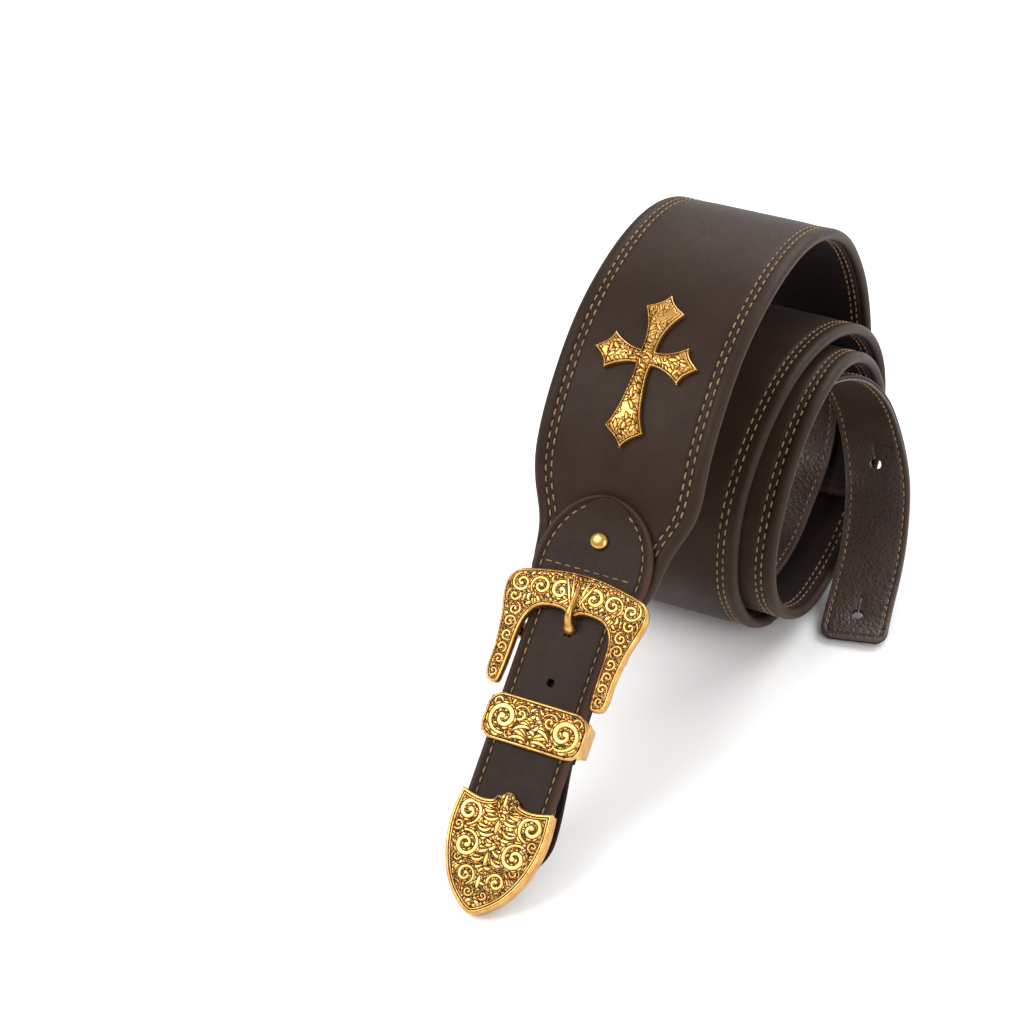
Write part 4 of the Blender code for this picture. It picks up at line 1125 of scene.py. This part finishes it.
def makeKeeper():
    spec, t = keeperSpec, np.linspace(0, np.pi / 2, 16)
    corner = spec["corner"]
    low, high = spec["middle"] - spec["halfLength"], spec["middle"] + spec["halfLength"]
    right = np.stack([high - corner + corner * np.cos(t), spec["half"] - corner + corner * np.sin(t)], axis=1)
    left = np.stack([low + corner - corner * np.sin(t), spec["half"] - corner + corner * np.cos(t)], axis=1)
    side = np.vstack([right, left])
    outline = np.vstack([side, (side * [1, -1])[::-1]])
    strokes = keeperStrokes()

    def relief(u, x, d):
        plain = band(d, -1, spec["border"], 0.1)
        field = drawStrokes(u, x, strokes) * band(d, spec["border"] + 0.45, 99, 0.2)
        return np.maximum(plain, field)

    def upper(u, x, d, raised):
        arch = spec["crown"] * (1 - (x / spec["half"]) ** 2)
        return spec["top"] - 1.2 + roundOver(d, 1.2) + arch - spec["depth"] * (1 - raised)

    plate = metalPlate("keeperFace", outline, spec["step"], upper, lambda u, x, d: spec["low"], relief,
                       engravedGold)
    dress(plate, "keeper", "engraved_gold", "keeper_loop")
    half = [(21.2, 4.9), (22.2, 3.9), (22.5, 1.8), (22.5, -2.0), (22.3, -5.6), (21.2, -7.8), (18.6, -8.9),
            (14, -9.1)]
    corners = [(-x, w) for x, w in half] + [(0, -9.15)] + half[::-1]
    path = splineThrough(corners, 0.6)
    tangent = unit(np.gradient(path, axis=0))
    inward = np.stack([-tangent[:, 1], tangent[:, 0]], axis=1)
    height = np.clip((path[:, 1] + 9) / 14, 0, 1)
    wide = 6.2 + 2.2 * height**2.5 - 1.0 * np.clip((path[:, 1] - 3.6) / 1.3, 0, 1) ** 2
    v = np.array([-1, -0.985, -0.93, -0.7, -0.35, 0, 0.35, 0.7, 0.93, 0.985, 1])
    thick = spec["band"] * np.sqrt(np.clip(1 - (np.abs(v) - 0.9).clip(0) / 0.1, 0, 1))
    u = spec["middle"] - v[None] * wide[:, None]
    outer = path[:, None] + inward[:, None] * ((spec["band"] - thick) / 2)[None, :, None]
    inner = path[:, None] + inward[:, None] * ((spec["band"] + thick) / 2)[None, :, None]
    top = bend(strapRoute, u, outer[..., 0], outer[..., 1]).reshape(-1, 3)
    under = bend(strapRoute, u, inner[..., 0], inner[..., 1]).reshape(-1, 3)
    loop = putMesh("keeperBand", np.concatenate([top, under]), closeSheet(cellFaces(*u.shape), u.size),
                   plainGold)
    dress(loop, "keeper", "plain_gold")


# tip: shield-shaped cap with a plain rim, two engraved lines and scrollwork

tipSpec = {"top": 6.8, "round": 0.9, "border": 1.25, "step": 0.22, "depth": 0.45, "ceiling": 3.9}
tipHalf = [(0.0, 0.0), (0.9, 2.7), (3.0, 6.0), (8, 11.4), (16, 16.4), (26, 19.8), (34, 21.0), (41, 20.9),
           (47.4, 20.2)]
tipRim = [(47.7, 19.8), (46.6, 15.6), (45.9, 11.0), (46.3, 7.4), (47.4, 5.4), (48.6, 4.7), (49.0, 3.2),
          (50.4, 1.9), (50.8, 0)]


def tipStrokes():
    strokes = filling(np.random.default_rng(9), 900, (2, 0), (50, 21), 3.0)
    strokes += scroll(32.8, 16.6, 2.5, 1, 1.0) + scroll(20.4, 12.6, 2.3, -1, 2.0)
    strokes += scroll(8.4, 3.2, 2.2, -1, 0.0) + scroll(44.4, 4.2, 2.2, 1, 2.0)
    strokes += sprays([(14 + 6.6 * k, 0.6, 2.2, -1.2) for k in range(5)], 9.5, 0.62)
    strokes += sprays([(44 - 1.5 * k, 1.8 + 0.4 * k, 1.75, -1.1) for k in range(2)], 15, 0.72)
    strokes += sprays([(36, 2.4, 2.5, -1.6), (24, 1.6, 2.6, -1.7)], 9, 0.6)
    strokes += scroll(14.6, 6.8, 3.9, 1, 3.6) + scroll(26.2, 10.8, 5.3, -1, 0.4)
    strokes += scroll(39.2, 13.8, 5.3, 1, 3.3)
    for u in (10.0, 19.6, 33.0, 44.0):
        strokes.append(leafStroke(u, 0.2, 0.1, 5.5, -0.15, 0.7))
    return mirrorStrokes(strokes)


def makeTip():
    half, rim = splineThrough(tipHalf, 0.4), splineThrough(tipRim, 0.3)
    side = np.vstack([half, rim[:-1], [[50.8, 0.0]]])
    outline = closeOutline(side)
    strokes = tipStrokes()

    def relief(u, x, d):
        plain = band(d, -1, tipSpec["border"], 0.1)
        line = band(d, tipSpec["border"] + 0.42, tipSpec["border"] + 0.95, 0.14)
        drawn = drawStrokes(u, x, strokes)
        crest = (u > 46.2) & (np.abs(x) < 5.2)
        field = drawn * band(d, np.where(crest, 0.5, tipSpec["border"] + 1.3), 99, 0.2)
        return np.maximum(np.maximum(np.where(crest, band(d, -1, 0.4, 0.1), plain), line * ~crest), field)

    def upper(u, x, d, raised):
        crown = 0.5 * (1 - np.clip(np.abs(x) / 21, 0, 1) ** 2) * np.clip(d / 4, 0, 1)
        body = tipSpec["top"] - tipSpec["round"] + roundOver(d, tipSpec["round"]) + crown - 0.35
        return body - tipSpec["depth"] * (1 - raised)

    def lower(u, x, d):
        wall = np.interp(u, half[:, 0], half[:, 1]) - np.abs(x) < 1.4
        return np.where(wall & (u < 47) | (u < 3.5), 0.0, tipSpec["ceiling"])

    piece = metalPlate("tipCap", outline, tipSpec["step"], upper, lower, relief, engravedGold)
    dress(piece, "strap", "engraved_gold", "tip_shell")


# cross: cast with flared, three-pointed arms and a rough, worked face inside a raised edge

crossSpec = {"at": 240.1, "low": 0.3, "top": 3.4, "step": 0.22, "border": 0.75, "depth": 0.6}
crossArms = [     # the +x side from foot to head as smooth runs that meet in corners
    [(-38.2, 0), (-36.6, 0.9), (-35.0, 2.2), (-33.4, 4.2), (-32.0, 6.4), (-30.5, 8.4)],
    [(-30.5, 8.4), (-25, 5.9), (-19, 4.4), (-12, 3.4), (-4.6, 3.0), (-3.0, 3.2)],
    [(-3.0, 3.2), (-3.2, 6), (-4.2, 9.6), (-5.8, 13.0), (-8.2, 16.4)],
    [(-8.2, 16.4), (-6.0, 16.9), (-3.8, 18.2), (-2.0, 20.2), (0, 22.8)],
    [(0, 22.8), (2.0, 20.2), (3.8, 18.2), (6.0, 16.9), (8.2, 16.4)],
    [(8.2, 16.4), (5.8, 13.0), (4.2, 9.6), (3.2, 6), (3.0, 3.2)],
    [(3.0, 3.2), (8, 3.2), (13, 4.2), (18, 6.2), (22.4, 8.7)],
    [(22.4, 8.7), (23.4, 6.6), (24.8, 4.4), (26.6, 2.3), (30.3, 0)],
]


def makeCross():
    runs = [splineThrough(run, 0.4)[:-1] for run in crossArms]
    side = np.vstack(runs + [np.array([[30.3, 0.0]])]) + [crossSpec["at"], 0]
    outline = closeOutline(side)
    rng, at = np.random.default_rng(12), crossSpec["at"]
    strokes = filling(rng, 260, (at - 39, -9), (at + 31, 9), 3.0)
    strokes += filling(rng, 170, (at - 9, -23), (at + 9, 23), 3.0)

    def relief(u, x, d):
        edge, drawn = crossSpec["border"], drawStrokes(u, x, strokes, 0.9, 0.2)
        return np.maximum(band(d, -1, edge, 0.12), drawn * band(d, edge + 0.34, 99, 0.2))

    def upper(u, x, d, raised):
        return (crossSpec["top"] - 1.1 + roundOver(d, 0.7) + 0.55 * np.clip(d / 2.6, 0, 1)
                - crossSpec["depth"] * (1 - raised))

    piece = metalPlate("crossCasting", outline, crossSpec["step"], upper, lambda u, x, d: crossSpec["low"],
                       relief, castGold)
    dress(piece, "strap", "engraved_gold", "cross_ornament")


# tab rivet: a low dome, turned; and the plain metal that stays as built

rivetAt = 161.0


def makeRivet():
    # a profile turned about the line square to the leather
    radius = np.array([1.5, 1.5, 3.7, 4.0, 4.0, 3.85, 3.4, 2.7, 1.8, 0.9, 0.02])
    height = np.array([0.0, 3.8, 3.8, 4.0, 4.3, 4.75, 5.3, 5.75, 6.05, 6.2, 6.25])
    turn = np.linspace(0, 2 * np.pi, 49)
    grid = bend(strapRoute, rivetAt + radius * np.cos(turn[:, None]), radius * np.sin(turn[:, None]), height)
    dome = putMesh("tabRivetDome", grid, cellFaces(*grid.shape[:2])[:, ::-1], plainGold)
    dress(dome, "strap", "plain_gold", "tab_rivet_cap")


def dressPlainMetal():
    # small metal keeps its built shape and takes the satin gold
    for node in ("buckle_bar", "tip_back_plate", "tip_screw_lower", "tip_screw_upper", "tab_rivet_washer",
                 "cross_screw_lower", "cross_screw_upper", "end_piece_rivet_left", "end_piece_rivet_right"):
        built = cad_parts[node]
        built.data.materials.clear()
        built.data.materials.append(plainGold)


makeFrame()
makeLugs()
makeProng()
makeKeeper()
makeTip()
makeCross()
makeRivet()
dressPlainMetal()
print("metal made")


# floor, light and camera

def makeStage():
    # a pale floor that curves up far behind, so that no horizon shows
    u = np.linspace(-1, 1, 40)
    run = np.concatenate([np.linspace(-3000, 2500, 30), 2500 + 900 * np.sin(np.linspace(0.1, np.pi / 2, 12))])
    rise = np.concatenate([np.zeros(30), 900 - 900 * np.cos(np.linspace(0.1, np.pi / 2, 12))])
    x = np.repeat(u[None, :] * 3500, len(run), axis=0)
    grid = np.stack([x, np.repeat(run[:, None], 40, axis=1), np.repeat(rise[:, None], 40, axis=1)], axis=-1)
    look, _, shader = newLook("paleFloor")
    shader.inputs["Base Color"].default_value = (0.93, 0.925, 0.92, 1.0)
    shader.inputs["Roughness"].default_value = 0.75
    shader.inputs["Specular IOR Level"].default_value = 0.2
    floor = putMesh("paleFloor", grid + footprint, cellFaces(*grid.shape[:2]), look)


softboxes = {     # place, size and power
    "keySoftbox": ((-0.7, -0.9, 1.3), (0.9, 0.9), 20.0),
    "fillSoftbox": ((1.2, -0.8, 0.7), (0.8, 1.2), 9.0),
    "backSoftbox": ((0.3, 1.2, 1.2), (1.6, 0.8), 24.0),
}
lightAim = (0.0, 0.0, 0.1)
worldStrength = 0.75


def softLight(name, place, size, power):
    # a rectangle of light that faces the strap
    lamp = bpy.data.lights.new(name, "AREA")
    lamp.shape = "RECTANGLE"
    lamp.size, lamp.size_y = size
    lamp.energy = power
    holder = bpy.data.objects.new(name, lamp)
    holder.location = place
    holder.rotation_euler = (Vector(lightAim) - Vector(place)).to_track_quat("-Z", "Y").to_euler()
    bpy.context.scene.collection.objects.link(holder)


def makeLights():
    for name, (place, size, power) in softboxes.items():
        softLight(name, place, size, power)
    world = bpy.data.worlds.new("studio")
    world.use_nodes = True
    sky = world.node_tree.nodes["Background"]
    sky.inputs["Color"].default_value = (1.0, 1.0, 1.0, 1.0)
    sky.inputs["Strength"].default_value = worldStrength
    bpy.context.scene.world = world


cameraSpec = {"lens": 85.04, "sensor": 36.0, "far": 20.0, "turn": 26.23, "tilt": 33.99,
              "place": (0.30408, -0.80974, 0.67781)}


def makeCamera():
    # looks down by the tilt and round by the turn, both in degrees
    lens = bpy.data.cameras.new("camera")
    lens.lens, lens.sensor_width, lens.clip_end = cameraSpec["lens"], cameraSpec["sensor"], cameraSpec["far"]
    turn, tilt = math.radians(cameraSpec["turn"]), math.radians(cameraSpec["tilt"])
    view = bpy.data.objects.new("camera", lens)
    view.location = cameraSpec["place"]
    view.rotation_euler = (math.pi / 2 - tilt, 0.0, turn)
    bpy.context.scene.collection.objects.link(view)
    bpy.context.scene.camera = view


makeStage()
makeLights()
makeCamera()
bpy.context.scene.view_settings.view_transform = "Standard"
